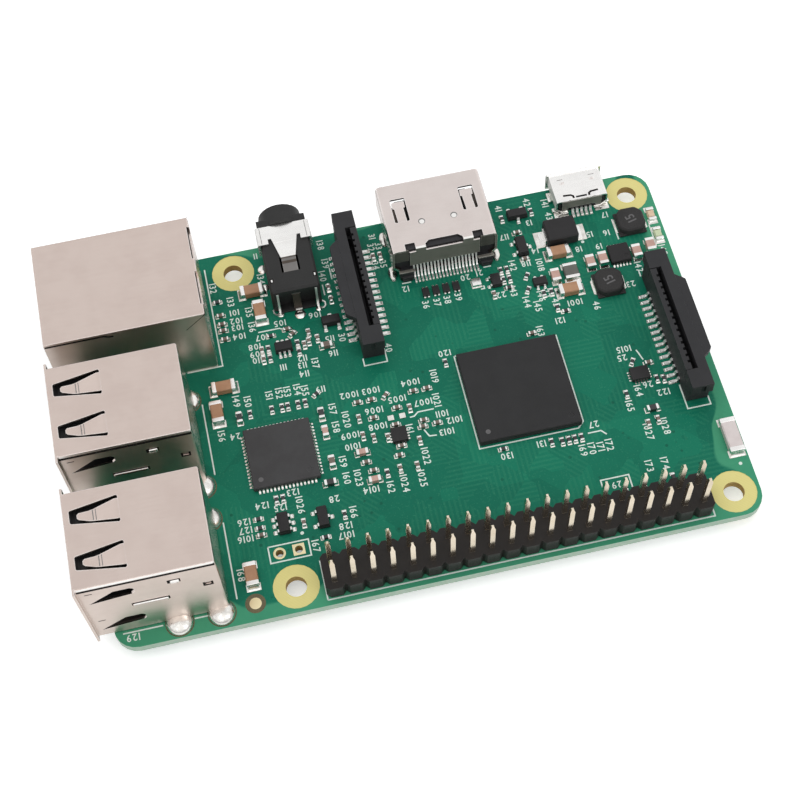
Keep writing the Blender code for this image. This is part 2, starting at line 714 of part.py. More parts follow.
def host_shell(name, centre_y):
    """The folded sheet shell of a stacked host port, with spring tongues, lip and legs."""
    half = HOST_WIDTH / 2
    top = SEAT_Z + HOST_HEIGHT
    body = sheet_box(
        name + "_fold", (HOST_MOUTH_X, centre_y - half, SEAT_Z), (HOST_REAR_X, centre_y + half, top),
        HOST_SHEET, HOST_EDGE, [(-1, 0, 0)])
    lip = block(
        name + "_lip", (HOST_MOUTH_X, centre_y - half - HOST_LIP, SEAT_Z),
        (HOST_MOUTH_X + HOST_SHEET, centre_y + half + HOST_LIP, top))
    inside = HOST_SHEET * 0.7
    cut(lip, block(
        name + "_lip_mouth", (HOST_MOUTH_X - CUT_MARGIN, centre_y - half + inside, SEAT_Z + inside),
        (HOST_MOUTH_X + HOST_SHEET + CUT_MARGIN, centre_y + half - inside, top - inside)))
    legs = [
        ((x - HOST_LEG_WIDTH / 2, y - HOST_SHEET * 0.4, UNDER_Z - HOST_LEG_TAIL),
         (x + HOST_LEG_WIDTH / 2, y + HOST_SHEET * 0.4, SEAT_Z + HOST_EDGE * 2))
        for x, y in host_legs(centre_y)]
    fuse(body, lip, blocks(name + "_legs", legs))
    foot = block(
        name + "_foot_window", (HOST_REAR_X - HOST_FOOT_LENGTH, centre_y - half + 2 * HOST_EDGE, -CUT_MARGIN),
        (HOST_REAR_X - 2 * HOST_EDGE, centre_y + half - 2 * HOST_EDGE, SEAT_Z + 2 * HOST_SHEET))
    cut(body, foot)
    start = HOST_MOUTH_X + SPRING_SETBACK
    for number, sign in enumerate((-1, 1)):
        middle = centre_y + sign * SPRING_OFFSET

        def place(along, across, down):
            return (start + along, middle + across, top - down)

        outline = [
            place(along, across, 0.0)[:2]
            for along, across in spring_opening(SPRING_LENGTH, SPRING_TIP, SPRING_ROOT, SPRING_SLOT)]
        cut(body, prism(f"{name}_opening_{number}", outline, top - 2 * HOST_SHEET, top + CUT_MARGIN))
        fuse(body, host_tongue(f"{name}_spring_{number}", place))
    start = HOST_MOUTH_X + SIDE_SPRING_SETBACK
    end = start + SIDE_SPRING_LENGTH
    reach = half + HOST_SHEET
    for number, height in enumerate(SIDE_SPRING_HEIGHTS):
        low = SEAT_Z + height
        outline = [
            (start, low), (end - SIDE_SPRING_CORNER, low + SIDE_SPRING_RISE),
            (end, low + SIDE_SPRING_RISE + SIDE_SPRING_CORNER),
            (end, low + SIDE_SPRING_OPENING - SIDE_SPRING_CORNER),
            (end - SIDE_SPRING_CORNER, low + SIDE_SPRING_OPENING),
            (end - SIDE_SPRING_OPENING, low + SIDE_SPRING_OPENING)]
        cut(body, prism(f"{name}_side_spring_{number}", outline, centre_y - reach, centre_y + reach, "Y"))
    ribs = []
    dimples = []
    for side in (-1, 1):
        wall = centre_y + side * half
        inner = wall - side * HOST_SHEET / 2
        outer = wall + side * SIDE_RIB_RISE
        for setback, length, width, height in (
                (SIDE_RIB_SETBACK, SIDE_RIB_LENGTH, SIDE_RIB_WIDTH, SIDE_RIB_HEIGHT),
                (SIDE_LANCE_SETBACK, SIDE_LANCE_LENGTH, SIDE_LANCE_WIDTH, SIDE_LANCE_HEIGHT)):
            x = HOST_MOUTH_X + setback
            ribs.append(((x, inner, SEAT_Z + height - width / 2), (x + length, outer, SEAT_Z + height + width / 2)))
        x = HOST_MOUTH_X + SIDE_DIMPLE_SETBACK
        z = SEAT_Z + SIDE_DIMPLE_HEIGHT
        corner = SIDE_DIMPLE_SIDE / 2
        dimples.append((
            (x - corner, wall - side * SIDE_DIMPLE_DEPTH, z - corner), (x + corner, wall + side * CUT_MARGIN, z + corner)))
    fuse(body, soften(blocks(name + "_ribs", ribs), SIDE_RIB_RISE * 0.6))
    cut(body, blocks(name + "_dimples", dimples))
    return piece(body, name, TIN_PLATE)


def host_core(name, centre_y):
    """The moulded core of a stacked host port: rear block, divider, two tongues and a foot."""
    gap = HOST_SHEET + SEAT_GAP
    half = HOST_WIDTH / 2 - gap
    rear = HOST_REAR_X - gap
    low = SEAT_Z + gap
    high = SEAT_Z + HOST_HEIGHT - gap
    middle = (low + high) / 2
    mouth = HOST_MOUTH_X + HOST_TONGUE_SETBACK
    body = block(name + "_block", (rear - HOST_CORE_DEPTH, centre_y - half, low), (rear, centre_y + half, high))
    soften(body, HOST_EDGE)
    divider = block(
        name + "_divider", (mouth, centre_y - half, middle - HOST_DIVIDER / 2),
        (rear - HOST_CORE_DEPTH / 2, centre_y + half, middle + HOST_DIVIDER / 2))
    port_height = (high - low - HOST_DIVIDER) / 2
    tongues = []
    for floor in (low, middle + HOST_DIVIDER / 2):
        level = floor + port_height - HOST_TONGUE_DROP
        tongues.append((
            (mouth, centre_y - HOST_TONGUE_WIDTH / 2, level - HOST_TONGUE_THICKNESS),
            (rear - HOST_CORE_DEPTH / 2, centre_y + HOST_TONGUE_WIDTH / 2, level)))
    foot = block(
        name + "_foot", (rear - HOST_CORE_DEPTH + 2 * HOST_EDGE, centre_y - half + 3 * HOST_EDGE, SEAT_Z),
        (rear - 3 * HOST_EDGE, centre_y + half - 3 * HOST_EDGE, middle - HOST_DIVIDER))
    fuse(body, divider, blocks(name + "_tongues", tongues), foot)
    return piece(body, name, BLACK_PLASTIC)


def network_jack():
    """The network jack: a sheet shell over a moulded core with its plug mouth, and two lamp windows."""
    half = JACK_WIDTH / 2
    top = SEAT_Z + JACK_HEIGHT
    shell = sheet_box(
        "jack_fold", (JACK_MOUTH_X, JACK_Y - half, SEAT_Z), (JACK_REAR_X, JACK_Y + half, top),
        JACK_SHEET, JACK_EDGE, [(-1, 0, 0), (0, 0, -1)])
    vents = [
        ((JACK_REAR_X - JACK_VENT_DEPTH, JACK_Y + sign * JACK_VENT_SPREAD - JACK_VENT_LENGTH / 2,
          top - JACK_VENT_HEIGHT),
         (JACK_REAR_X + CUT_MARGIN, JACK_Y + sign * JACK_VENT_SPREAD + JACK_VENT_LENGTH / 2, top + CUT_MARGIN))
        for sign in (-1, 1)]
    cut(shell, blocks("jack_vents", vents))
    piece(shell, "network_jack_shell", TIN_PLATE)

    gap = JACK_SHEET + SEAT_GAP
    front = JACK_MOUTH_X + JACK_SHEET
    core = block(
        "jack_block", (front, JACK_Y - half + gap, SEAT_Z), (JACK_REAR_X - gap, JACK_Y + half - gap, top - gap))
    soften(core, JACK_EDGE)
    mouth = block(
        "jack_mouth", (front - CUT_MARGIN, JACK_Y - JACK_MOUTH_WIDTH / 2, JACK_MOUTH_FLOOR),
        (front + JACK_MOUTH_DEPTH, JACK_Y + JACK_MOUTH_WIDTH / 2, JACK_MOUTH_FLOOR + JACK_MOUTH_HEIGHT))
    clip = block(
        "jack_clip_channel", (front - CUT_MARGIN, JACK_Y - JACK_CLIP_WIDTH / 2, JACK_MOUTH_FLOOR - JACK_CLIP_DROP),
        (front + JACK_MOUTH_DEPTH * 0.8, JACK_Y + JACK_CLIP_WIDTH / 2, JACK_MOUTH_FLOOR + JACK_CLIP_DROP))
    cut(core, mouth, clip)
    lamp_offset = (JACK_CLIP_WIDTH + JACK_WIDTH / 2 - gap) / 2
    lamps = []
    for side in (-1, 1):
        centre = JACK_Y + side * lamp_offset * 0.82
        lamps.append((
            (front, centre - JACK_LAMP_WIDTH / 2, JACK_LAMP_FLOOR),
            (front + JACK_LAMP_DEPTH, centre + JACK_LAMP_WIDTH / 2, JACK_LAMP_FLOOR + JACK_LAMP_HEIGHT)))
    pockets = [
        (Vector(low) - Vector((CUT_MARGIN, SEAT_GAP, SEAT_GAP)), Vector(high) + Vector((SEAT_GAP, SEAT_GAP, SEAT_GAP)))
        for low, high in lamps]
    cut(core, blocks("jack_lamp_pockets", pockets))
    pegs = [((x, y, UNDER_Z - JACK_PEG_TAIL), (x, y, SEAT_Z + JACK_EDGE * 2)) for x, y in jack_pegs()]
    fuse(core, cylinders("jack_pegs", JACK_PEG_DIAMETER, pegs, sides=HOLE_SIDES))
    piece(core, "network_jack_core", BLACK_PLASTIC)
    for name, finish, (low, high) in zip(
            ("network_lamp_front", "network_lamp_rear"), (LAMP_AMBER, LAMP_GREEN), lamps):
        piece(soften(block(name, low, high), SEAT_GAP), name, finish)


def port_profile(width, height, floor, edge, chamfer_width, chamfer_height, inset):
    """Cross-section of a port tube: round above, with the lower corners cut at a slant."""
    half = width / 2 - inset
    low = floor + inset
    high = floor + height - inset
    slant = inset * 0.4
    points = arc((half - edge, high - edge), edge, 0, 90, 2) + arc((-half + edge, high - edge), edge, 90, 180, 2)
    points += [(-half, low + chamfer_height - slant), (-half + chamfer_width - slant, low)]
    points += [(half - chamfer_width + slant, low), (half, low + chamfer_height - slant)]
    return points


def moved(points, x):
    """An outline shifted along its first axis."""
    return [(u + x, v) for u, v in points]


def video_finger(name, place):
    """A spring finger of the video port: a plain stem that dips to a wider head with its tip turned up."""
    stem = VIDEO_FINGER_WIDTH / 2
    head = VIDEO_FINGER_HEAD / 2
    flush = VIDEO_SHEET * 0.05
    tip = VIDEO_FINGER_SLOT
    neck = tip + VIDEO_FINGER_HEAD_LENGTH
    stations = [
        (tip, head * 0.8, VIDEO_SHEET / 2), (tip + VIDEO_FINGER_SLOT / 3, head, VIDEO_SHEET / 2),
        (neck, head, VIDEO_FINGER_DIP), (neck + VIDEO_SHEET / 3, stem, VIDEO_FINGER_DIP),
        (neck + VIDEO_FINGER_HEAD_LENGTH, stem, VIDEO_FINGER_DIP * 0.8),
        (VIDEO_FINGER_LENGTH - VIDEO_FINGER_SLOT, stem, flush),
        (VIDEO_FINGER_LENGTH + VIDEO_FINGER_SLOT, stem, flush)]
    return spring_tongue(name, stations, VIDEO_SHEET * 0.9, place)


def video_port():
    """The video port: a sheet tube with spring fingers, rear flap and legs round a moulded tongue."""
    centre = VIDEO_FROM_MIDDLE
    mouth = BACK_Y + VIDEO_OVERHANG
    rear = mouth - VIDEO_DEPTH
    floor = SEAT_Z + VIDEO_FLOOR
    height = VIDEO_HEIGHT - VIDEO_FLOOR
    top = floor + height

    def profile(inset):
        edge = VIDEO_EDGE - inset * 0.7
        return moved(port_profile(
            VIDEO_WIDTH, height, floor, edge, VIDEO_CHAMFER_WIDTH, VIDEO_CHAMFER_HEIGHT, inset), centre)

    shell = prism("video_tube", profile(0.0), rear, mouth, "Y")
    cut(shell, prism("video_inside", profile(VIDEO_SHEET), rear - CUT_MARGIN, mouth + CUT_MARGIN, "Y"))
    flap = block(
        "video_flap", (centre - VIDEO_FLAP_WIDTH / 2, rear, top - VIDEO_FLAP_DROP),
        (centre + VIDEO_FLAP_WIDTH / 2, rear + VIDEO_SHEET, top - VIDEO_SHEET * 0.4))
    legs = []
    for side in (-1, 1):
        x = centre + side * (VIDEO_WIDTH / 2 - VIDEO_SHEET / 2)
        for setback in VIDEO_LEG_SETBACKS:
            legs.append((
                (x - VIDEO_SHEET * 0.4, rear + setback - VIDEO_LEG_WIDTH / 2, SEAT_Z),
                (x + VIDEO_SHEET * 0.4, rear + setback + VIDEO_LEG_WIDTH / 2, floor + VIDEO_CHAMFER_HEIGHT * 1.4)))
    fuse(shell, flap, blocks("video_legs", legs))
    front = mouth - VIDEO_FINGER_SETBACK
    for number, side in enumerate((-1, 1)):
        middle = centre + side * VIDEO_FINGER_SPREAD

        def place(along, across, down):
            return (middle + across, front - along, top - down)

        outline = [
            place(along, across, 0.0)[:2] for along, across in spring_opening(
                VIDEO_FINGER_LENGTH, VIDEO_FINGER_WIDTH, VIDEO_FINGER_WIDTH, VIDEO_FINGER_SLOT)]
        cut(shell, prism(f"video_opening_{number}", outline, top - 2 * VIDEO_SHEET, top + CUT_MARGIN))
        fuse(shell, video_finger(f"video_finger_{number}", place))
    window_half = VIDEO_WINDOW_LENGTH / 2
    window = [
        (-window_half, rear - CUT_MARGIN), (window_half, rear - CUT_MARGIN), (window_half, rear + VIDEO_WINDOW_SLANT),
        (window_half - VIDEO_WINDOW_SLANT, rear + VIDEO_WINDOW_REACH),
        (-window_half + VIDEO_WINDOW_SLANT, rear + VIDEO_WINDOW_REACH), (-window_half, rear + VIDEO_WINDOW_SLANT)]
    notches = [
        ((centre + side * VIDEO_NOTCH_OFFSET - VIDEO_NOTCH_LENGTH / 2, rear - CUT_MARGIN, top - VIDEO_WINDOW_DROP),
         (centre + side * VIDEO_NOTCH_OFFSET + VIDEO_NOTCH_LENGTH / 2, rear + VIDEO_WINDOW_REACH, top + CUT_MARGIN))
        for side in (-1, 1)]
    dots = [
        ((centre + side * VIDEO_DIMPLE_SPREAD, mouth - VIDEO_DIMPLE_SETBACK, top - VIDEO_DIMPLE_DEPTH),
         (centre + side * VIDEO_DIMPLE_SPREAD, mouth - VIDEO_DIMPLE_SETBACK, top + CUT_MARGIN))
        for side in (-1, 1)]
    cut(
        shell, prism("video_window", moved(window, centre), top - VIDEO_WINDOW_DROP, top + CUT_MARGIN),
        blocks("video_notches", notches),
        cylinders("video_dimples", VIDEO_DIMPLE_DIAMETER, dots, sides=SMALL_HOLE_SIDES))
    piece(shell, "video_port_shell", TIN_PLATE)

    gap = VIDEO_SHEET + SEAT_GAP
    core_rear = rear + VIDEO_SHEET + SEAT_GAP
    core = prism("video_block", profile(gap), core_rear, core_rear + VIDEO_CORE_DEPTH, "Y")
    middle = floor + height / 2
    tongue = block(
        "video_tongue",
        (centre - VIDEO_TONGUE_WIDTH / 2, core_rear + VIDEO_CORE_DEPTH / 2, middle - VIDEO_TONGUE_THICKNESS / 2),
        (centre + VIDEO_TONGUE_WIDTH / 2, mouth - VIDEO_TONGUE_SETBACK, middle + VIDEO_TONGUE_THICKNESS / 2))
    fuse(core, tongue)
    piece(core, "video_port_core", BLACK_PLASTIC)


def power_port():
    """The small power port: a sheet tube with a flared lip round a thin moulded tongue."""
    centre = END_X - POWER_FROM_END
    mouth = BACK_Y + POWER_OVERHANG
    rear = mouth - POWER_DEPTH
    floor = SEAT_Z + POWER_FLOOR
    height = POWER_HEIGHT - POWER_FLOOR

    def profile(inset):
        edge = POWER_EDGE - inset * 0.7
        return moved(port_profile(
            POWER_WIDTH, height, floor, edge, POWER_CHAMFER_WIDTH, POWER_CHAMFER_HEIGHT, inset), centre)

    shell = prism("power_tube", profile(0.0), rear, mouth, "Y")
    lip = block(
        "power_lip", (centre - POWER_WIDTH / 2 - POWER_LIP, BACK_Y + POWER_SHEET, floor - POWER_LIP),
        (centre + POWER_WIDTH / 2 + POWER_LIP, mouth, floor + height + POWER_LIP))
    fuse(shell, soften(lip, POWER_SHEET / 2))
    cut(shell, prism("power_inside", profile(POWER_SHEET), rear - CUT_MARGIN, mouth + CUT_MARGIN, "Y"))
    low = floor + height - 2 * POWER_SHEET
    high = floor + height + CUT_MARGIN
    slots = []
    for side in (-1, 1):
        x = centre + side * POWER_SLOT_OFFSET
        half = POWER_SLOT_WIDTH / 2
        slot_end = rear + POWER_SLOT_REACH
        slots.append(((x - half, rear - CUT_MARGIN, low), (x + half, slot_end, high)))
        slots.append((
            (x - POWER_SLOT_SPAN / 2, slot_end - half, low), (x + POWER_SLOT_SPAN / 2, slot_end + half, high)))
    for number, corners in enumerate(slots):
        cut(shell, block(f"power_slot_{number}", *corners))
    cut(shell, block(
        "power_window", (centre - POWER_WINDOW_LENGTH / 2, rear + POWER_WINDOW_SETBACK, low),
        (centre + POWER_WINDOW_LENGTH / 2, rear + POWER_WINDOW_SETBACK + POWER_SLOT_WIDTH, high)))
    piece(shell, "power_port_shell", BRIGHT_TIN)

    core = prism(
        "power_block", profile(POWER_SHEET + SEAT_GAP), rear + SEAT_GAP, rear + SEAT_GAP + POWER_CORE_DEPTH, "Y")
    middle = floor + height * 0.6
    tongue = block(
        "power_tongue",
        (centre - POWER_TONGUE_WIDTH / 2, rear + POWER_CORE_DEPTH / 2, middle - POWER_TONGUE_THICKNESS / 2),
        (centre + POWER_TONGUE_WIDTH / 2, mouth - POWER_TONGUE_SETBACK, middle + POWER_TONGUE_THICKNESS / 2))
    fuse(core, tongue)
    piece(core, "power_port_core", BLACK_PLASTIC)


def audio_jack():
    """The round audio jack: a moulded body with its barrel and bore, and a metal clip over the top."""
    half = AUDIO_WIDTH / 2
    back = BACK_Y + AUDIO_BACK_OVERHANG
    front = back - AUDIO_LENGTH
    top = SEAT_Z + AUDIO_HEIGHT
    axis_z = SEAT_Z + AUDIO_BARREL_HEIGHT + AUDIO_BARREL_DIAMETER / 2 - AUDIO_HEIGHT / 2
    body = block("audio_block", (AUDIO_X - half, front, SEAT_Z), (AUDIO_X + half, back, top))
    soften(body, AUDIO_CLIP_THICKNESS)
    recess = block(
        "audio_recess", (AUDIO_X - AUDIO_RECESS_WIDTH / 2, front - CUT_MARGIN, SEAT_Z - CUT_MARGIN),
        (AUDIO_X + AUDIO_RECESS_WIDTH / 2, front + AUDIO_RECESS_DEPTH, SEAT_Z + AUDIO_RECESS_HEIGHT))
    barrel_end = back + AUDIO_BARREL_LENGTH
    clip_back = back - AUDIO_CLIP_SETBACK - SEAT_GAP
    clip_front = clip_back - AUDIO_CLIP_LENGTH
    stem_end = clip_front - AUDIO_STEM_LENGTH
    dip_end = stem_end - AUDIO_STEM_DIP_LENGTH
    trough_half = AUDIO_STEM_TIP / 2 + AUDIO_STEM_CLEAR
    trough = block(
        "audio_trough", (AUDIO_X - trough_half, dip_end - SEAT_GAP, top - AUDIO_STEM_DIP - SEAT_GAP),
        (AUDIO_X + trough_half, stem_end + AUDIO_STEM_CLEAR, top + CUT_MARGIN))
    cut(body, recess, trough)
    fuse(body, cylinders(
        "audio_barrel", AUDIO_BARREL_DIAMETER,
        [((AUDIO_X, back - AUDIO_CLIP_SETBACK, axis_z), (AUDIO_X, barrel_end, axis_z))], "Y"))
    cut(body, cylinders(
        "audio_bore", AUDIO_BORE_DIAMETER,
        [((AUDIO_X, barrel_end - AUDIO_BORE_DEPTH, axis_z), (AUDIO_X, barrel_end + CUT_MARGIN, axis_z))], "Y"))
    piece(body, "audio_jack_body", BLACK_PLASTIC, smooth=True)

    low = top + SEAT_GAP
    high = low + AUDIO_CLIP_THICKNESS
    inner = half + SEAT_GAP
    outer = inner + AUDIO_CLIP_THICKNESS
    hem = top - AUDIO_CLIP_SKIRT
    saddle = [(-outer, hem), (-inner, hem), (-inner, low), (inner, low), (inner, hem), (outer, hem)]
    saddle += [(outer, high - AUDIO_CLIP_THICKNESS / 2), (outer - AUDIO_CLIP_THICKNESS / 2, high)]
    saddle += [(-outer + AUDIO_CLIP_THICKNESS / 2, high), (-outer, high - AUDIO_CLIP_THICKNESS / 2)]
    clip = prism("audio_clip_saddle", moved(saddle, AUDIO_X), clip_front, clip_back, "Y")
    notch_end = clip_front + AUDIO_NOTCH_DEPTH
    notch_front = clip_front - CUT_MARGIN
    notch_out = AUDIO_STEM_ROOT / 2 + AUDIO_NOTCH_WIDTH
    taper = (AUDIO_STEM_ROOT - AUDIO_STEM_TIP) / 2 / (notch_end - stem_end)
    notch_in = AUDIO_STEM_ROOT / 2 - taper * (notch_end - notch_front)
    for number, side in enumerate((-1, 1)):
        outline = [
            (AUDIO_X + side * across, y) for across, y in (
                (notch_out, notch_front), (notch_out, notch_end),
                (AUDIO_STEM_ROOT / 2, notch_end), (notch_in, notch_front))]
        cut(clip, prism(f"audio_clip_notch_{number}", outline, low - CUT_MARGIN, high + CUT_MARGIN))
    inside = AUDIO_CLIP_THICKNESS * 0.08
    root_half = AUDIO_STEM_ROOT / 2 + inside
    plan = [
        (-root_half, clip_front + AUDIO_CLIP_LENGTH / 2), (-root_half, notch_end),
        (-AUDIO_STEM_TIP / 2, stem_end), (AUDIO_STEM_TIP / 2, stem_end),
        (root_half, notch_end), (root_half, clip_front + AUDIO_CLIP_LENGTH / 2)]
    stem = prism("audio_clip_stem", moved(plan, AUDIO_X), low + inside, high - inside)
    bend = stem_end + AUDIO_STEM_TIP / 4
    fall = [
        (bend, high - 2 * inside), (bend, low + 2 * inside),
        (stem_end, low + 2 * inside), (dip_end, low - AUDIO_STEM_DIP),
        (dip_end, high - AUDIO_STEM_DIP), (stem_end, high - 2 * inside)]
    tip_half = AUDIO_STEM_TIP / 2 - 2 * inside
    fuse(clip, stem, prism("audio_clip_tip", fall, AUDIO_X - tip_half, AUDIO_X + tip_half, "X"))
    piece(clip, "audio_jack_clip", BRIGHT_TIN)


def flat_socket(name, latch_name, centre_x, centre_y, side):
    """A flat-cable socket with the latch that lifts to free the cable.

    The latch stands over the half of the socket on the given side of x, with a wing to pull it by.
    """
    def at(across, along, z):
        return (centre_x + side * across, centre_y + along, z)

    half = SOCKET_WIDTH / 2
    slot_low = -SOCKET_SLOT_OFFSET - SOCKET_SLOT_WIDTH / 2
    slot_high = slot_low + SOCKET_SLOT_WIDTH
    base_top = SEAT_Z + SOCKET_BASE
    top = SEAT_Z + SOCKET_HEIGHT
    slot_half = SOCKET_SLOT_LENGTH / 2
    body = block(name + "_base", at(-half, -SOCKET_LENGTH / 2, SEAT_Z), at(half, SOCKET_LENGTH / 2, base_top))
    wall = block(
        name + "_wall", at(-half, -slot_half, SEAT_Z + SOCKET_BASE / 2), at(slot_low, slot_half, top - SLIDE_GAP))
    fuse(body, wall)
    slot = block(
        name + "_slot", at(slot_low, -slot_half + SOCKET_COMB_WIDTH, SEAT_Z + SOCKET_SLOT_FLOOR),
        at(slot_high, slot_half - SOCKET_COMB_WIDTH, top + CUT_MARGIN))
    ways = [
        (at(slot_low - SOCKET_COMB_DEPTH, along - SOCKET_COMB_WIDTH / 2, SEAT_Z + SOCKET_BASE),
         at(slot_low + SOCKET_COMB_DEPTH, along + SOCKET_COMB_WIDTH / 2, top + CUT_MARGIN))
        for along, _ in grid(SOCKET_WAYS, 1, SOCKET_WAY_PITCH, 0.0, (0.0, 0.0))]
    leg_half = LATCH_LEG_WIDTH / 2
    leg_low = base_top - LATCH_LEG_DEPTH
    leg_along = SOCKET_LENGTH / 2 - LATCH_LEG_INSET
    leg_across = (slot_high + half) / 2
    pockets = []
    legs = []
    for end in (-1, 1):
        legs.append((
            at(leg_across - leg_half, end * leg_along - leg_half, leg_low),
            at(leg_across + leg_half, end * leg_along + leg_half, top - LATCH_WING_THICKNESS)))
        clear = leg_half + SLIDE_GAP
        pockets.append((
            at(leg_across - clear, end * leg_along - clear, leg_low - SLIDE_GAP),
            at(leg_across + clear, end * leg_along + clear, top + CUT_MARGIN)))
    cut(body, slot, blocks(name + "_ways", ways), blocks(name + "_pockets", pockets))
    piece(body, name, SOCKET_PLASTIC)

    latch_low = base_top + SLIDE_GAP
    latch = block(latch_name + "_bar", at(slot_high, -LATCH_LENGTH / 2, latch_low), at(half, LATCH_LENGTH / 2, top))
    posts = [
        (at(-half, end * (slot_half + SLIDE_GAP), latch_low), at(slot_high + SLIDE_GAP, end * LATCH_LENGTH / 2, top))
        for end in (-1, 1)]
    reach = half + LATCH_WING_REACH
    wing_half = LATCH_WING_LENGTH / 2
    outline = [
        (half - SLIDE_GAP, -wing_half - LATCH_WING_CHAMFER), (half + LATCH_WING_CHAMFER, -wing_half),
        (reach - LATCH_WING_CHAMFER, -wing_half), (reach, -wing_half + LATCH_WING_CHAMFER),
        (reach, wing_half - LATCH_WING_CHAMFER), (reach - LATCH_WING_CHAMFER, wing_half),
        (half + LATCH_WING_CHAMFER, wing_half), (half - SLIDE_GAP, wing_half + LATCH_WING_CHAMFER)]
    plan = [at(across, along, 0.0)[:2] for across, along in outline]
    wing = prism(latch_name + "_wing", plan, top - LATCH_WING_THICKNESS, top - SLIDE_GAP)
    groove_half = LATCH_GROOVE_WIDTH / 2
    grooves = [
        (at(slot_high - groove_half, end * (LATCH_LENGTH / 2 - LATCH_GROOVE_DEPTH), latch_low - CUT_MARGIN),
         at(slot_high + groove_half, end * (LATCH_LENGTH / 2 + CUT_MARGIN), top - LATCH_GROOVE_TOP))
        for end in (-1, 1)]
    fuse(latch, blocks(latch_name + "_posts", posts), blocks(latch_name + "_legs", legs), wing)
    cut(latch, blocks(latch_name + "_grooves", grooves))
    piece(latch, latch_name, SOCKET_PLASTIC)


def card_socket():
    """The card socket under the board: a moulded frame with a pressed cover below it."""
    mouth = END_X - CARD_FROM_END
    rear = mouth - CARD_LENGTH
    centre_y = BACK_Y - CARD_FROM_BACK
    half = CARD_WIDTH / 2
    low = UNDER_SEAT_Z - CARD_HEIGHT
    cover = sheet_box(
        "card_fold", (rear, centre_y - half, low), (mouth, centre_y + half, UNDER_SEAT_Z),
        CARD_SHEET, CARD_SHEET, [(1, 0, 0), (0, 0, 1)])
    piece(cover, "card_socket_cover", TIN_PLATE)
    gap = CARD_SHEET + SEAT_GAP
    frame = block(
        "card_block", (rear + gap, centre_y - half + gap, low + gap), (mouth, centre_y + half - gap, UNDER_SEAT_Z))
    slot = block(
        "card_slot", (mouth - CARD_SLOT_LENGTH, centre_y - CARD_SLOT_WIDTH / 2, low - CUT_MARGIN),
        (mouth + CUT_MARGIN, centre_y + CARD_SLOT_WIDTH / 2, UNDER_SEAT_Z - CARD_BASE_PLATE))
    cut(frame, slot)
    piece(frame, "card_socket_frame", BLACK_PLASTIC)


def chip(name, length, width, height, x, y, seat, up, finish):
    """A moulded chip package with chamfered edges and a dimple at its first corner."""
    far = seat + up * height
    body = block(name + "_package", (x - length / 2, y - width / 2, seat), (x + length / 2, y + width / 2, far))
    soften(body, CHIP_CHAMFER)
    inset = min(CHIP_DIMPLE_INSET, width / 4)
    dot = (x + length / 2 - inset, y - width / 2 + inset)
    ends = sorted((far - up * CHIP_DIMPLE_DEPTH, far + up * CUT_MARGIN))
    cut(body, cylinders(
        name + "_dimple", CHIP_DIMPLE_DIAMETER, [((*dot, ends[0]), (*dot, ends[1]))], sides=SMALL_HOLE_SIDES))
    return piece(body, name, finish)


def chips():
    """The chips on both faces of the board."""
    chip("processor", PROCESSOR_SIDE, PROCESSOR_SIDE, PROCESSOR_HEIGHT,
         PROCESSOR_X, PROCESSOR_Y, SEAT_Z, 1, CHIP_RESIN)
    chip("network_hub_chip", HUB_SIDE, HUB_SIDE, HUB_HEIGHT,
         PORT_X + HUB_FROM_PORTS, FRONT_Y + HUB_FROM_FRONT, SEAT_Z, 1, CHIP_RESIN)
    chip("power_chip", POWER_CHIP_SIDE, POWER_CHIP_SIDE, POWER_CHIP_HEIGHT,
         END_X - POWER_CHIP_FROM_END, BACK_Y - POWER_CHIP_FROM_BACK, SEAT_Z, 1, CHIP_RESIN)
    chip("memory_chip", MEMORY_LENGTH, MEMORY_WIDTH, MEMORY_HEIGHT,
         PROCESSOR_X - PROCESSOR_SIDE / 2 + MEMORY_LENGTH / 4, PROCESSOR_Y, UNDER_SEAT_Z, -1, CHIP_RESIN)
    chip("wireless_chip", WIRELESS_LENGTH, WIRELESS_WIDTH, WIRELESS_HEIGHT,
         END_X - WIRELESS_FROM_END, FRONT_Y + WIRELESS_FROM_FRONT, UNDER_SEAT_Z, -1, CHIP_RESIN)


def inductor(name, x, y):
    """A power inductor: a square base under a moulded block with cut corners."""
    half = INDUCTOR_SIDE / 2
    corner = INDUCTOR_CORNER
    outline = []
    for sx, sy in ((1, 1), (-1, 1), (-1, -1), (1, -1)):
        ends = [(x + sx * half, y + sy * (half - corner)), (x + sx * (half - corner), y + sy * half)]
        outline += ends if sx * sy > 0 else ends[::-1]
    body = soften(prism(name + "_block", outline, SEAT_Z, SEAT_Z + INDUCTOR_HEIGHT), CHIP_CHAMFER * 2)
    base = block(name + "_base", (x - half, y - half, SEAT_Z), (x + half, y + half, SEAT_Z + INDUCTOR_BASE))
    fuse(body, base)
    piece(body, name, INDUCTOR_BLACK)


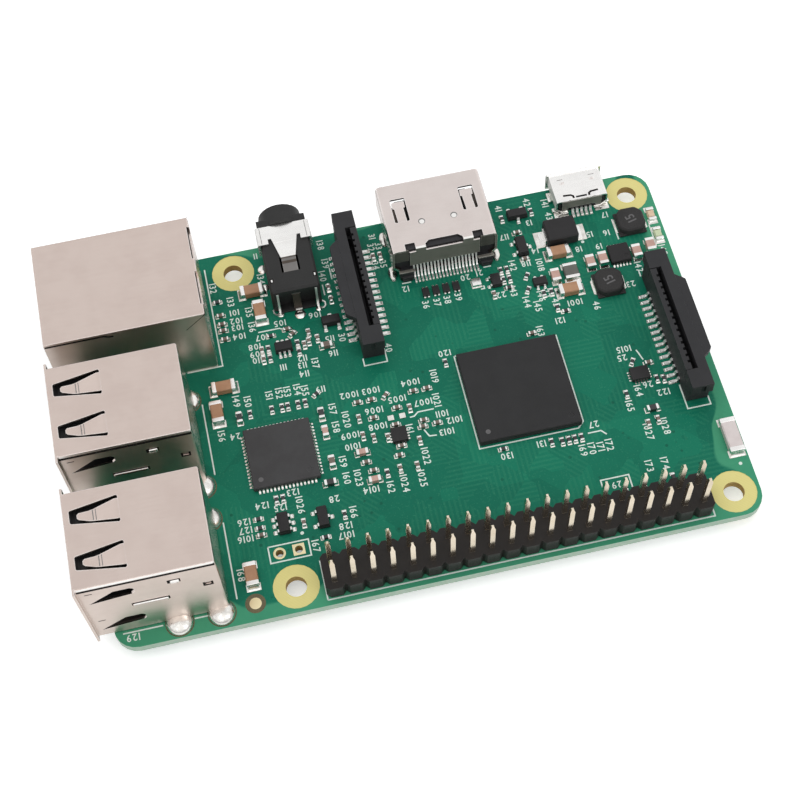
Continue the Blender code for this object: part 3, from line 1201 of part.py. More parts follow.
def diode():
    """The input clamp diode: a moulded block with two flat leads folded under it."""
    x = END_X - DIODE_FROM_END
    y = BACK_Y - DIODE_FROM_BACK
    half_length = DIODE_LENGTH / 2
    half_width = DIODE_WIDTH / 2
    low = SEAT_Z + DIODE_LEAD_THICKNESS
    high = SEAT_Z + DIODE_HEIGHT
    body = soften(block(
        "diode_block", (x - half_length, y - half_width, low), (x + half_length, y + half_width, high)), DIODE_TAPER)
    for number, side in enumerate((-1, 1)):
        outer = half_length + DIODE_LEAD_REACH
        shin = half_length + DIODE_LEAD_THICKNESS
        inner = half_length - DIODE_LEAD_REACH
        lead = [
            (inner, SEAT_Z), (outer, SEAT_Z), (outer, low), (shin, low), (shin, SEAT_Z + DIODE_LEAD_RISE),
            (half_length - DIODE_TAPER, SEAT_Z + DIODE_LEAD_RISE),
            (half_length - DIODE_TAPER, low + DIODE_TAPER / 2), (inner, low + DIODE_TAPER / 2)]
        bent = [(x + side * across, z) for across, z in lead]
        fuse(body, prism(f"diode_lead_{number}", bent, y - DIODE_LEAD_WIDTH / 2, y + DIODE_LEAD_WIDTH / 2, "Y"))
    piece(body, "input_diode", CHIP_RESIN)


def slab(name, length, width, height, x, y, seat, edge, finish):
    """A small block part with softened edges, standing on the seat or hanging from it."""
    body = block(name + "_body", (x - length / 2, y - width / 2, seat), (x + length / 2, y + width / 2, seat + height))
    return piece(soften(body, edge), name, finish)


def small_parts():
    """Inductors, diode, capacitors, lamps, antenna and fuse."""
    inductor("inductor_rear", END_X - INDUCTOR_REAR_FROM_END, BACK_Y - INDUCTOR_REAR_FROM_BACK)
    inductor("inductor_front", END_X - INDUCTOR_FRONT_FROM_END, BACK_Y - INDUCTOR_FRONT_FROM_BACK)
    slab("choke", CHOKE_LENGTH, CHOKE_WIDTH, CHOKE_HEIGHT,
         END_X - CHOKE_FROM_END, BACK_Y - CHOKE_FROM_BACK, SEAT_Z, CHIP_CHAMFER, CHOKE_GREY)
    diode()
    for name, x, y, upright in CAPACITORS:
        length, width = (CAPACITOR_WIDTH, CAPACITOR_LENGTH) if upright else (CAPACITOR_LENGTH, CAPACITOR_WIDTH)
        slab(name, length, width, CAPACITOR_HEIGHT, x, y, SEAT_Z, CAPACITOR_EDGE, CERAMIC_TAN)
    for number, (name, finish) in enumerate((("power_lamp", LAMP_AMBER), ("activity_lamp", LAMP_GREEN))):
        y = BACK_Y - LAMP_FROM_BACK - number * LAMP_PITCH
        x = END_X - LAMP_FROM_END
        body = block(
            name + "_base", (x - LAMP_WIDTH / 2, y - LAMP_LENGTH / 2, SEAT_Z),
            (x + LAMP_WIDTH / 2, y + LAMP_LENGTH / 2, SEAT_Z + LAMP_BASE))
        lens = soften(block(
            name + "_lens", (x - LAMP_WIDTH / 2 + SEAT_GAP, y - LAMP_LENGTH / 4, SEAT_Z + LAMP_BASE / 2),
            (x + LAMP_WIDTH / 2 - SEAT_GAP, y + LAMP_LENGTH / 4, SEAT_Z + LAMP_HEIGHT)), SEAT_GAP)
        piece(fuse(body, lens), name, finish)
    slab("chip_antenna", ANTENNA_WIDTH, ANTENNA_LENGTH, ANTENNA_HEIGHT,
         END_X - ANTENNA_FROM_END, FRONT_Y + ANTENNA_FROM_FRONT, SEAT_Z, CAPACITOR_EDGE, CERAMIC_WHITE)
    slab("fuse", FUSE_LENGTH, FUSE_WIDTH, -FUSE_HEIGHT,
         END_X - FUSE_FROM_END, BACK_Y - FUSE_FROM_BACK, UNDER_SEAT_Z, CAPACITOR_EDGE, FUSE_GREEN)


clear_scene()

GREEN_MASK = paint("green_mask", (0.02, 0.19, 0.11), 0.45)
TIN_PLATE = paint("tin_plate", (0.58, 0.52, 0.49), 0.28, 1.0)
BRIGHT_TIN = paint("bright_tin", (0.78, 0.78, 0.78), 0.25, 1.0)
BLACK_PLASTIC = paint("black_plastic", (0.03, 0.03, 0.03), 0.55)
SOCKET_PLASTIC = paint("socket_plastic", (0.045, 0.045, 0.047), 0.5)
CHIP_RESIN = paint("chip_resin", (0.045, 0.045, 0.047), 0.6)
INDUCTOR_BLACK = paint("inductor_black", (0.06, 0.06, 0.06), 0.7)
CHOKE_GREY = paint("choke_grey", (0.2, 0.2, 0.18), 0.6)
CERAMIC_TAN = paint("ceramic_tan", (0.42, 0.25, 0.16), 0.5)
CERAMIC_WHITE = paint("ceramic_white", (0.7, 0.66, 0.64), 0.45)
LAMP_AMBER = paint("lamp_amber", (0.75, 0.6, 0.45), 0.3)
LAMP_GREEN = paint("lamp_green", (0.62, 0.68, 0.52), 0.3)
FUSE_GREEN = paint("fuse_green", (0.08, 0.2, 0.1), 0.5)

# The datum stands over the middle of the assembly's footprint, at the height of the longest tail
DATUM = bpy.data.objects.new("datum", None)
PARTS.objects.link(DATUM)
DATUM.location = (
    max(HOST_OVERHANG, JACK_OVERHANG) / 2,
    -max(AUDIO_REACH, VIDEO_OVERHANG, POWER_OVERHANG) / 2,
    BOARD_THICKNESS + max(PIN_TAIL, HOST_LEG_TAIL, JACK_PEG_TAIL, CARD_HEIGHT + SOLDER_GAP))

circuit_board()
pin_header()
for tag, port_y in (("front", HOST_FRONT_Y), ("rear", HOST_BACK_Y)):
    host_shell("host_port_shell_" + tag, port_y)
    host_core("host_port_core_" + tag, port_y)
network_jack()
video_port()
power_port()
audio_jack()
flat_socket("display_socket", "display_latch", END_X - DISPLAY_FROM_END, BACK_Y - DISPLAY_FROM_BACK, 1)
flat_socket("camera_socket", "camera_latch", CAMERA_FROM_MIDDLE, BACK_Y - CAMERA_FROM_BACK, -1)
card_socket()
chips()
small_parts()
bpy.context.view_layer.update()
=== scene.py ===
"""Looks of the single board computer: finishes, fine parts, print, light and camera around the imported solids."""
import json
import logging
import math
from dataclasses import dataclass, field
from enum import Enum
from functools import cache
from itertools import product
from typing import Any, Callable, Sequence

import bmesh
import bpy
from mathutils import Matrix, Vector

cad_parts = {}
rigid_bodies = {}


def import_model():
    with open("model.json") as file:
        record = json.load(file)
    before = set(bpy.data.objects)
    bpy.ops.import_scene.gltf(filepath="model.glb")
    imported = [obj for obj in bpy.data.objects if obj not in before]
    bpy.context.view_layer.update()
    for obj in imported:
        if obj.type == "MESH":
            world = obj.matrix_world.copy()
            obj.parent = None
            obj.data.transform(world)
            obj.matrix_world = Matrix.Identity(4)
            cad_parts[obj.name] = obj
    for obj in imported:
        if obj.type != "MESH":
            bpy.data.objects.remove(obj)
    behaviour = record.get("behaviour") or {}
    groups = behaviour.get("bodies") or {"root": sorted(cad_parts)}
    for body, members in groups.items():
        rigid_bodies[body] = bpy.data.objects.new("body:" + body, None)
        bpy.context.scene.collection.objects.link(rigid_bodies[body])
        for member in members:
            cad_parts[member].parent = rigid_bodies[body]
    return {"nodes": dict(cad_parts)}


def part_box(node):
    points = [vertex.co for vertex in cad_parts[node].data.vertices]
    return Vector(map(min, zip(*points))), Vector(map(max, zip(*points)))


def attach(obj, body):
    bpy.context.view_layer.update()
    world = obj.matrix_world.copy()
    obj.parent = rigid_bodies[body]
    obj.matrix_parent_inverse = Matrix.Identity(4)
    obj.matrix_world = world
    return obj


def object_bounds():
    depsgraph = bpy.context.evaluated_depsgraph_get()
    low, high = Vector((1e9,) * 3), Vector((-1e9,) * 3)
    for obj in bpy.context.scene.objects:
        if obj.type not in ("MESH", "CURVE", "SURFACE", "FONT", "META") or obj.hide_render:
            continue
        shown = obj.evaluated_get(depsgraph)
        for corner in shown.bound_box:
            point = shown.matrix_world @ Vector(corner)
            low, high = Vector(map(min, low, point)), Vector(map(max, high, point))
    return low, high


for leftover in list(bpy.data.objects):
    bpy.data.objects.remove(leftover)
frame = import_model()
CAD_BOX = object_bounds()

LOG = logging.getLogger("board_looks")
MM = 0.001
BOARD_LOW, BOARD_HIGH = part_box("circuit_board")
DATUM = Vector(((BOARD_LOW.x + BOARD_HIGH.x) / 2, (BOARD_LOW.y + BOARD_HIGH.y) / 2, BOARD_HIGH.z))
THICK = (BOARD_HIGH.z - BOARD_LOW.z) / MM
OVAL = Matrix.Diagonal((1.0, 1.9, 1.0, 1.0))  # stretches round solder along a slot
SMOOTH_ANGLE = 34.0  # sharper edges, in degrees, are not smoothed
SOFT_ANGLE = 38.0  # sharper edges are softened
INK_FOOT, INK_TOP = -0.01, 0.014  # printed ink, in millimetres over the mask
LINE_FOOT, LINE_TOP = -0.05, 0.006  # lines drawn on sheet metal

Colour = tuple[int, int, int]
Pair = tuple[float, float]
Size = tuple[float, float, float]
Flat = Sequence[Pair]
Rule = Callable[[Vector, Vector], int]
Socket, Tree = bpy.types.NodeSocket, bpy.types.NodeTree
PLAIN = (0.5, 0.5, 0.5, 1.0)  # colour of a group's input until one is joined


class Slot(Enum):
    """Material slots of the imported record."""

    TIN_PLATE = "tin_plate"
    BRIGHT_TIN = "bright_tin"
    BLACK_PLASTIC = "black_plastic"
    CHIP_RESIN = "chip_resin"
    CERAMIC_TAN = "ceramic_tan"


def tone(colour: Colour) -> tuple[float, ...]:
    """Turn a colour as seen on screen, 0 to 255, into the linear colour that a shader takes."""
    parts = [v / 255 for v in colour]
    return *(v / 12.92 if v <= 0.04045 else ((v + 0.055) / 1.055) ** 2.4 for v in parts), 1.0


# ---- shader wiring


class Wiring:
    """Places nodes in one shader tree and joins them."""

    def __init__(self, tree: Tree) -> None:
        """Start on an emptied tree."""
        self.tree = tree
        tree.nodes.clear()

    def feed(self, socket: Socket, value: Any) -> None:
        """Join a socket to another one, or set its own value.

        Args:
            socket: input socket.
            value: another socket, a plain value, or a colour as seen, in three parts.
        """
        if isinstance(value, Socket):
            self.tree.links.new(value, socket)
        else:
            socket.default_value = tone(value) if socket.type == "RGBA" and len(value) == 3 else value

    def place(
        self, kind: str, settings: dict[str, Any] | None = None, *values: Any, **inputs: Any
    ) -> bpy.types.Node:
        """Add a node.

        Args:
            kind: node type, without its ShaderNode prefix.
            settings: properties of the node itself.
            *values: input sockets in their order.
            **inputs: input sockets by name, with underscores for spaces.

        Returns:
            The new node.
        """
        node = self.tree.nodes.new("ShaderNode" + kind)
        for key, value in (settings or {}).items():
            setattr(node, key, value)
        for socket, value in zip(node.inputs, values):
            self.feed(socket, value)
        for key, value in inputs.items():
            self.feed(node.inputs[key.replace("_", " ")], value)
        return node

    def close(self, outer: Any, **values: Any) -> Tree:
        """Feed a group's outputs.

        Args:
            outer: output sockets of the group.
            **values: what feeds them, by name.

        Returns:
            The finished group.
        """
        for key, value in values.items():
            self.feed(outer[key], value)
        return self.tree

    def effect(self, group: Tree, *values: Any, **inputs: Any) -> Any:
        """Place a shared effect group with its own values, in order or by name, and give its outputs."""
        return self.place("Group", {"node_tree": group}, *values, **inputs).outputs

    def blend(self, factor: Any, first: Any, second: Any, mode: str = "MIX") -> Socket:
        """Mix two colours.

        Args:
            factor: share of the second colour.
            first: colour where the factor is 0.
            second: colour where the factor is 1.
            mode: blend mode.

        Returns:
            The mixed colour socket.
        """
        node = self.place("Mix", {"data_type": "RGBA", "blend_type": mode})
        for index, value in ((0, factor), (6, first), (7, second)):
            self.feed(node.inputs[index], value)
        return node.outputs[2]

    def calc(self, work: str, *values: Any) -> Socket:
        """Work out one value from one, two or three others."""
        return self.place("Math", {"operation": work}, *values).outputs[0]

    def span(self, value: Any, low: float, high: float, start: Any = 0.0, end: Any = 1.0) -> Socket:
        """Map a value from the range of low and high to that of start and end, smoothly and held at the ends."""
        settings = {"interpolation_type": "SMOOTHSTEP"}
        return self.place("MapRange", settings, value, low, high, start, end).outputs[0]

    def between(self, mask: Any, low: float, high: float) -> Socket:
        """Turn a mask into a value between two others."""
        return self.span(mask, 0.0, 1.0, low, high)

    def times(self, first: Any, second: Any) -> Socket:
        """Multiply two values."""
        return self.calc("MULTIPLY", first, second)

    def noise(self, place: Any, scale: Any, detail: Any, **inputs: Any) -> Socket:
        """Place a noise texture and give its value."""
        return self.place("TexNoise", Vector=place, Scale=scale, Detail=detail, **inputs).outputs[0]

    def dot(self, first: Any, second: Any) -> Socket:
        """Give the dot product of two vectors."""
        return self.place("VectorMath", {"operation": "DOT_PRODUCT"}, first, second).outputs["Value"]

    def millimetres(self) -> Socket:
        """Give the object coordinate in millimetres."""
        place = self.place("TexCoord").outputs["Object"]
        return self.place("VectorMath", {"operation": "SCALE"}, Vector=place, Scale=1 / MM).outputs[0]


class Effects:
    """Shader groups that several finishes share, each built once."""

    @staticmethod
    def start(name: str, inputs: dict[str, Any], outputs: dict[str, str]) -> tuple[Wiring, Any, Any, Any]:
        """Open a new group.

        Args:
            name: name of the group.
            inputs: input names with their default, a number or a colour.
            outputs: output names with their kind, Float or Color.

        Returns:
            The net, the group's inputs, its outputs and the object coordinate in millimetres.
        """
        tree = bpy.data.node_groups.new(name, "ShaderNodeTree")
        for key, default in inputs.items():
            kind = "NodeSocketColor" if isinstance(default, tuple) else "NodeSocketFloat"
            tree.interface.new_socket(key, in_out="INPUT", socket_type=kind).default_value = default
        for key, kind in outputs.items():
            tree.interface.new_socket(key, in_out="OUTPUT", socket_type="NodeSocket" + kind)
        net = Wiring(tree)
        inner = tree.nodes.new("NodeGroupInput").outputs
        outer = tree.nodes.new("NodeGroupOutput").inputs
        return net, inner, outer, net.millimetres()

    @staticmethod
    @cache
    def grain() -> Tree:
        """Fine moulded or cast texture: a height and a mask that come from the same noise.

        Returns:
            The group.
        """
        net, inner, outer, place = Effects.start(
            "fine_grain", {"Scale": 8.0, "Detail": 3.0}, {"Height": "Float", "Mask": "Float"}
        )
        noise = net.noise(place, inner["Scale"], inner["Detail"], Roughness=0.6)
        return net.close(outer, Height=noise, Mask=net.span(noise, 0.35, 0.65))

    @staticmethod
    @cache
    def mottle() -> Tree:
        """Soft clouds of a second colour over the first, with small specks of a third.

        Returns:
            The group.
        """
        net, inner, outer, place = Effects.start(
            "mottle",
            {"Base": PLAIN, "Cloud": PLAIN, "Speck": PLAIN, "Scale": 0.6, "Fineness": 9.0, "Amount": 0.5},
            {"Colour": "Color", "Mask": "Float"},
        )
        mask = net.span(net.noise(place, inner["Scale"], 4.0, Roughness=0.6), 0.36, 0.66)
        first = net.blend(net.times(mask, inner["Amount"]), inner["Base"], inner["Cloud"])
        fine = net.noise(place, inner["Fineness"], 2.0)
        dots = net.times(net.span(fine, 0.58, 0.74), inner["Amount"])
        return net.close(outer, Colour=net.blend(dots, first, inner["Speck"]), Mask=mask)

    @staticmethod
    @cache
    def edge_wear() -> Tree:
        """Edges rubbed to another colour with a painted highlight laid over them, found where a rounded normal leaves
        the true one.

        Returns:
            The group.
        """
        net, inner, outer, place = Effects.start(
            "edge_wear",
            {"Base": PLAIN, "Edge": PLAIN, "Radius": 0.1 * MM, "Amount": 0.6},
            {"Colour": "Color", "Mask": "Float"},
        )
        rounded = net.place("Bevel", {"samples": 4}, Radius=inner["Radius"]).outputs[0]
        flat = net.place("NewGeometry").outputs["Normal"]
        near_edge = net.span(net.dot(rounded, flat), 0.995, 0.86)
        mask = net.times(net.times(near_edge, net.span(net.noise(place, 2.2, 3.0), 0.2, 0.6)), inner["Amount"])
        return net.close(outer, Colour=net.blend(mask, inner["Base"], inner["Edge"]), Mask=mask)

    @staticmethod
    @cache
    def plating() -> Tree:
        """Rolled and plated sheet: faint lines along one way, dull clouds and a few handling marks.

        Returns:
            The group.
        """
        net, inner, outer, place = Effects.start(
            "plating",
            {"Base": PLAIN, "Dull": PLAIN, "Rough": 0.25, "Spread": 0.12, "Lines": 6.0},
            {"Colour": "Color", "Roughness": "Float", "Height": "Float"},
        )
        stretch = net.place("Mapping", Vector=place, Scale=(0.06, 1.0, 0.6))
        lines = net.noise(stretch.outputs[0], inner["Lines"], 3.0)
        cloud = net.noise(place, 0.22, 4.0, Roughness=0.55)
        marks = net.noise(place, 1.7, 5.0, Distortion=1.2)
        dull = net.calc("ADD", net.span(cloud, 0.35, 0.7, 0.0, 0.6), net.span(lines, 0.4, 0.7, 0.0, 0.14))
        colour = net.blend(dull, inner["Base"], inner["Dull"])
        soft = net.calc("ADD", dull, net.span(marks, 0.56, 0.7, 0.0, 0.5))
        rough = net.calc("MULTIPLY_ADD", soft, inner["Spread"], inner["Rough"])
        height = net.calc("MULTIPLY_ADD", lines, 0.1, net.times(cloud, 1.2))
        return net.close(outer, Colour=colour, Roughness=rough, Height=height)

    @staticmethod
    @cache
    def copper() -> Tree:
        """Copper that shows through the mask: planes, bundles of tracks, filled holes and the clear rim.

        Returns:
            The group.
        """
        net, inner, outer, place = Effects.start(
            "copper_under_mask",
            {"Planes": 0.085, "Tracks": 1.5, "Holes": 0.62, "Half Length": 42.5, "Half Width": 28.0},
            {"Plane": "Float", "Track": "Float", "Hole": "Float", "Rim": "Float", "Height": "Float"},
        )
        axes = net.place("SeparateXYZ", Vector=place).outputs
        flat = net.place("CombineXYZ", X=axes[0], Y=axes[1]).outputs[0]
        cells = net.place("TexVoronoi", {"distance": "CHEBYCHEV"}, Vector=flat, Scale=inner["Planes"])
        shade = net.place("SeparateColor", Color=cells.outputs["Color"]).outputs
        small = net.place("TexVoronoi", {"distance": "MANHATTAN"}, Vector=flat, Scale=0.21)
        pick = net.place("SeparateColor", Color=small.outputs["Color"]).outputs
        patch = net.span(pick[0], 0.66, 0.7)
        plane = net.calc("MULTIPLY_ADD", patch, 0.4, net.times(shade[0], 0.6))
        slant = net.times(net.calc("ADD", axes[0], axes[1]), math.sqrt(0.5))
        along = net.blend(net.calc("GREATER_THAN", pick[1], 0.55), axes[0], axes[1])
        along = net.blend(net.calc("GREATER_THAN", pick[1], 0.8), along, slant)
        wave = net.calc("PINGPONG", net.times(along, inner["Tracks"]), 0.5)
        track = net.times(net.span(wave, 0.24, 0.32), net.span(pick[2], 0.6, 0.62))
        dots = net.place("TexVoronoi", Vector=flat, Scale=inner["Holes"])
        near = net.span(dots.outputs["Distance"], 0.17, 0.1)
        chosen = net.place("SeparateColor", Color=dots.outputs["Color"]).outputs[0]
        hole = net.times(near, net.calc("GREATER_THAN", chosen, 0.62))
        reach = net.span(net.noise(flat, 0.09, 1.0), 0.35, 0.7, 0.5, 3.4)
        end = net.calc("SUBTRACT", inner["Half Length"], net.calc("ABSOLUTE", axes[0]))
        side = net.calc("SUBTRACT", inner["Half Width"], net.calc("ABSOLUTE", axes[1]))
        rim = net.span(net.calc("SUBTRACT", net.calc("MINIMUM", end, side), reach), 0.3, -0.25)
        raised = net.calc("MULTIPLY_ADD", track, 0.6, net.times(patch, 0.35))
        height = net.calc("SUBTRACT", raised, net.times(hole, 0.8))
        return net.close(outer, Plane=plane, Track=track, Hole=hole, Rim=rim, Height=height)


# ---- finishes


@dataclass(frozen=True)
class Finish:
    """A named surface finish that makes its material once."""

    name: str

    def material(self) -> bpy.types.Material:
        """Make the material, or give the one already made.

        Returns:
            The material of this finish.
        """
        found = bpy.data.materials.get("finish_" + self.name)
        if found:
            return found
        made = bpy.data.materials.new("finish_" + self.name)
        made.use_nodes = True
        net = Wiring(made.node_tree)
        shader = net.place("BsdfPrincipled")
        out = net.place("OutputMaterial")
        net.feed(out.inputs["Surface"], shader.outputs[0])
        self.paint(net, shader.inputs)
        return made

    def paint(self, net: Wiring, shader: Any) -> None:
        """Wire the nodes of this finish to the shader's inputs."""
        raise NotImplementedError

    @staticmethod
    def clouds(net: Wiring, colours: Sequence[Any], scale: float, fineness: float, amount: float) -> Any:
        """Mottle a base colour with a cloud and a speck colour, and give colour and mask."""
        return net.effect(Effects.mottle(), *colours, scale, fineness, amount)

    @staticmethod
    def grained(net: Wiring, scale: float, detail: float = 2.0) -> Any:
        """Place the fine grain, and give height and mask."""
        return net.effect(Effects.grain(), scale, detail)

    @staticmethod
    def cover(net: Wiring, shader: Any, colour: Any, rough: Any, bump: tuple[Any, float, float]) -> None:
        """Feed the shader what changes over the surface.

        Args:
            net: tree to work in.
            shader: inputs of the shader.
            colour: colour socket.
            rough: roughness socket.
            bump: height socket, strength of the bump and its depth in millimetres.
        """
        height, strength, depth = bump
        normal = net.place("Bump", Height=height, Strength=strength, Distance=depth * MM).outputs[0]
        for name, value in (("Base Color", colour), ("Roughness", rough), ("Normal", normal)):
            net.feed(shader[name], value)


@dataclass(frozen=True)
class SolderMask(Finish):
    """Green lacquer over copper and laminate."""

    deep: Colour = (12, 104, 82)
    mid: Colour = (20, 118, 92)
    bright: Colour = (78, 162, 124)
    hole: Colour = (12, 84, 66)

    def paint(self, net: Wiring, shader: Any) -> None:
        """Layer planes, tracks, holes and rim, with the lacquer's own soft waviness.

        Args:
            net: tree to work in.
            shader: inputs of the shader.
        """
        copper = net.effect(Effects.copper())
        colour = net.blend(net.span(copper["Plane"], 0.1, 0.95), self.deep, self.mid)
        for mask, share, over in (("Track", 0.1, self.bright), ("Hole", 0.75, self.hole), ("Rim", 0.8, self.bright)):
            colour = net.blend(net.times(copper[mask], share), colour, over)
        mottle = self.clouds(net, (colour, self.mid, self.bright), 0.12, 5.0, 0.22)
        grain = self.grained(net, 2.6)
        height = net.calc("MULTIPLY_ADD", grain["Height"], 0.25, copper["Height"])
        self.cover(net, shader, mottle["Colour"], net.between(grain["Mask"], 0.36, 0.48), (height, 0.22, 0.03))
        shader["Specular IOR Level"].default_value = 0.16


@dataclass(frozen=True)
class Laminate(Finish):
    """Bare glass-fibre laminate, with its woven layers."""

    base: Colour
    layer: Colour
    gloss: float = 0.5
    pitch: float = 5.2

    def paint(self, net: Wiring, shader: Any) -> None:
        """Band the thickness in glass layers and cross them with a fine weave.

        Args:
            net: tree to work in.
            shader: inputs of the shader.
        """
        place = net.millimetres()
        bands, weave = (
            net.place("TexWave", {"bands_direction": way}, Vector=place, Scale=scale, Distortion=bent).outputs["Fac"]
            for way, scale, bent in (("Z", self.pitch / math.tau, 0.6), ("DIAGONAL", 1.4, 0.4))
        )
        mask = net.calc("MULTIPLY_ADD", bands, 0.65, net.times(weave, 0.25))
        mottle = self.clouds(net, (self.base, self.layer, self.layer), 0.9, 7.0, 0.4)
        colour = net.blend(mask, mottle["Colour"], self.layer)
        self.cover(net, shader, colour, net.between(mask, self.gloss - 0.08, self.gloss + 0.1), (mask, 0.2, 0.02))


@dataclass(frozen=True)
class Plate(Finish):
    """Plated or tinned metal."""

    base: Colour
    dull: Colour
    # colour of the edges: rubbed metal with a painted highlight
    edge: Colour
    rough: float = 0.18
    spread: float = 0.08
    lines: float = 3.0
    ripple: float = 0.04
    rub: float = 0.12
    metal: float = 1.0

    def paint(self, net: Wiring, shader: Any) -> None:
        """Plate the sheet, brighten its edges with wear and a painted highlight, and let it ripple a little.

        Args:
            net: tree to work in.
            shader: inputs of the shader.
        """
        sizes = {"Rough": self.rough, "Spread": self.spread, "Lines": self.lines}
        plating = net.effect(Effects.plating(), self.base, self.dull, **sizes)
        wear_and_highlight = net.effect(Effects.edge_wear(), plating["Colour"], self.edge, Radius=self.rub * MM, Amount=0.8)
        self.cover(net, shader, wear_and_highlight["Colour"], plating["Roughness"], (plating["Height"], self.ripple, 0.05))
        shader["Metallic"].default_value = self.metal


@dataclass(frozen=True)
class Solder(Finish):
    """Melted solder: bright, slightly lumpy metal with dull grains."""

    base: Colour = (242, 240, 235)
    dull: Colour = (196, 192, 186)
    rough: float = 0.14

    def paint(self, net: Wiring, shader: Any) -> None:
        """Mix bright and grainy zones and wrinkle the skin.

        Args:
            net: tree to work in.
            shader: inputs of the shader.
        """
        mottle = self.clouds(net, (self.base, self.dull, self.dull), 0.9, 6.0, 0.55)
        rough = net.between(mottle["Mask"], self.rough, self.rough + 0.16)
        self.cover(net, shader, mottle["Colour"], rough, (self.grained(net, 1.6)["Height"], 0.25, 0.12))
        shader["Metallic"].default_value = 1.0


@dataclass(frozen=True)
class Moulding(Finish):
    """Moulded plastic, resin or pressed powder."""

    base: Colour
    cloud: Colour
    # colour of the edges: worn plastic with a painted highlight
    edge: Colour
    rough: float = 0.5
    grain: float = 7.0
    depth: float = 0.02
    shine: float = 0.5
    speck: Colour | None = None

    def paint(self, net: Wiring, shader: Any) -> None:
        """Cloud the colour, lighten the edges with wear and a painted highlight, and give the skin its moulded grain.

        Args:
            net: tree to work in.
            shader: inputs of the shader.
        """
        colours = (self.base, self.cloud, self.speck or self.cloud)
        mottle = self.clouds(net, colours, 0.35, self.grain * 1.3, 0.6)
        wear_and_highlight = net.effect(Effects.edge_wear(), mottle["Colour"], self.edge, Radius=0.12 * MM, Amount=0.7)
        grain = self.grained(net, self.grain, 3.0)
        rough = net.between(grain["Mask"], self.rough - 0.06, self.rough + 0.08)
        self.cover(net, shader, wear_and_highlight["Colour"], rough, (grain["Height"], 0.4, self.depth))
        shader["Specular IOR Level"].default_value = self.shine


@dataclass(frozen=True)
class Glaze(Finish):
    """Fired ceramic or clear lens stock with a thin gloss."""

    base: Colour
    cloud: Colour
    rough: float = 0.3
    coat: float = 0.3

    def paint(self, net: Wiring, shader: Any) -> None:
        """Cloud the body, pit it finely and lay the gloss over it.

        Args:
            net: tree to work in.
            shader: inputs of the shader.
        """
        mottle = self.clouds(net, (self.base, self.cloud, self.cloud), 0.8, 9.0, 0.5)
        grain = self.grained(net, 6.0)
        rough = net.between(grain["Mask"], self.rough - 0.05, self.rough + 0.12)
        self.cover(net, shader, mottle["Colour"], rough, (grain["Height"], 0.2, 0.02))
        shader["Coat Weight"].default_value = self.coat
        shader["Coat Roughness"].default_value = 0.12


@dataclass(frozen=True)
class Ink(Finish):
    """Screen-printed ink: nearly even, thin at places, with a dry surface."""

    base: Colour = (232, 240, 234)
    thin: Colour = (188, 214, 200)

    def paint(self, net: Wiring, shader: Any) -> None:
        """Thin the ink in small clouds and roughen it.

        Args:
            net: tree to work in.
            shader: inputs of the shader.
        """
        mottle = self.clouds(net, (self.base, self.thin, self.thin), 1.3, 11.0, 0.35)
        grain = self.grained(net, 14.0)
        rough = net.between(grain["Mask"], 0.5, 0.7)
        self.cover(net, shader, mottle["Colour"], rough, (grain["Height"], 0.2, 0.01))


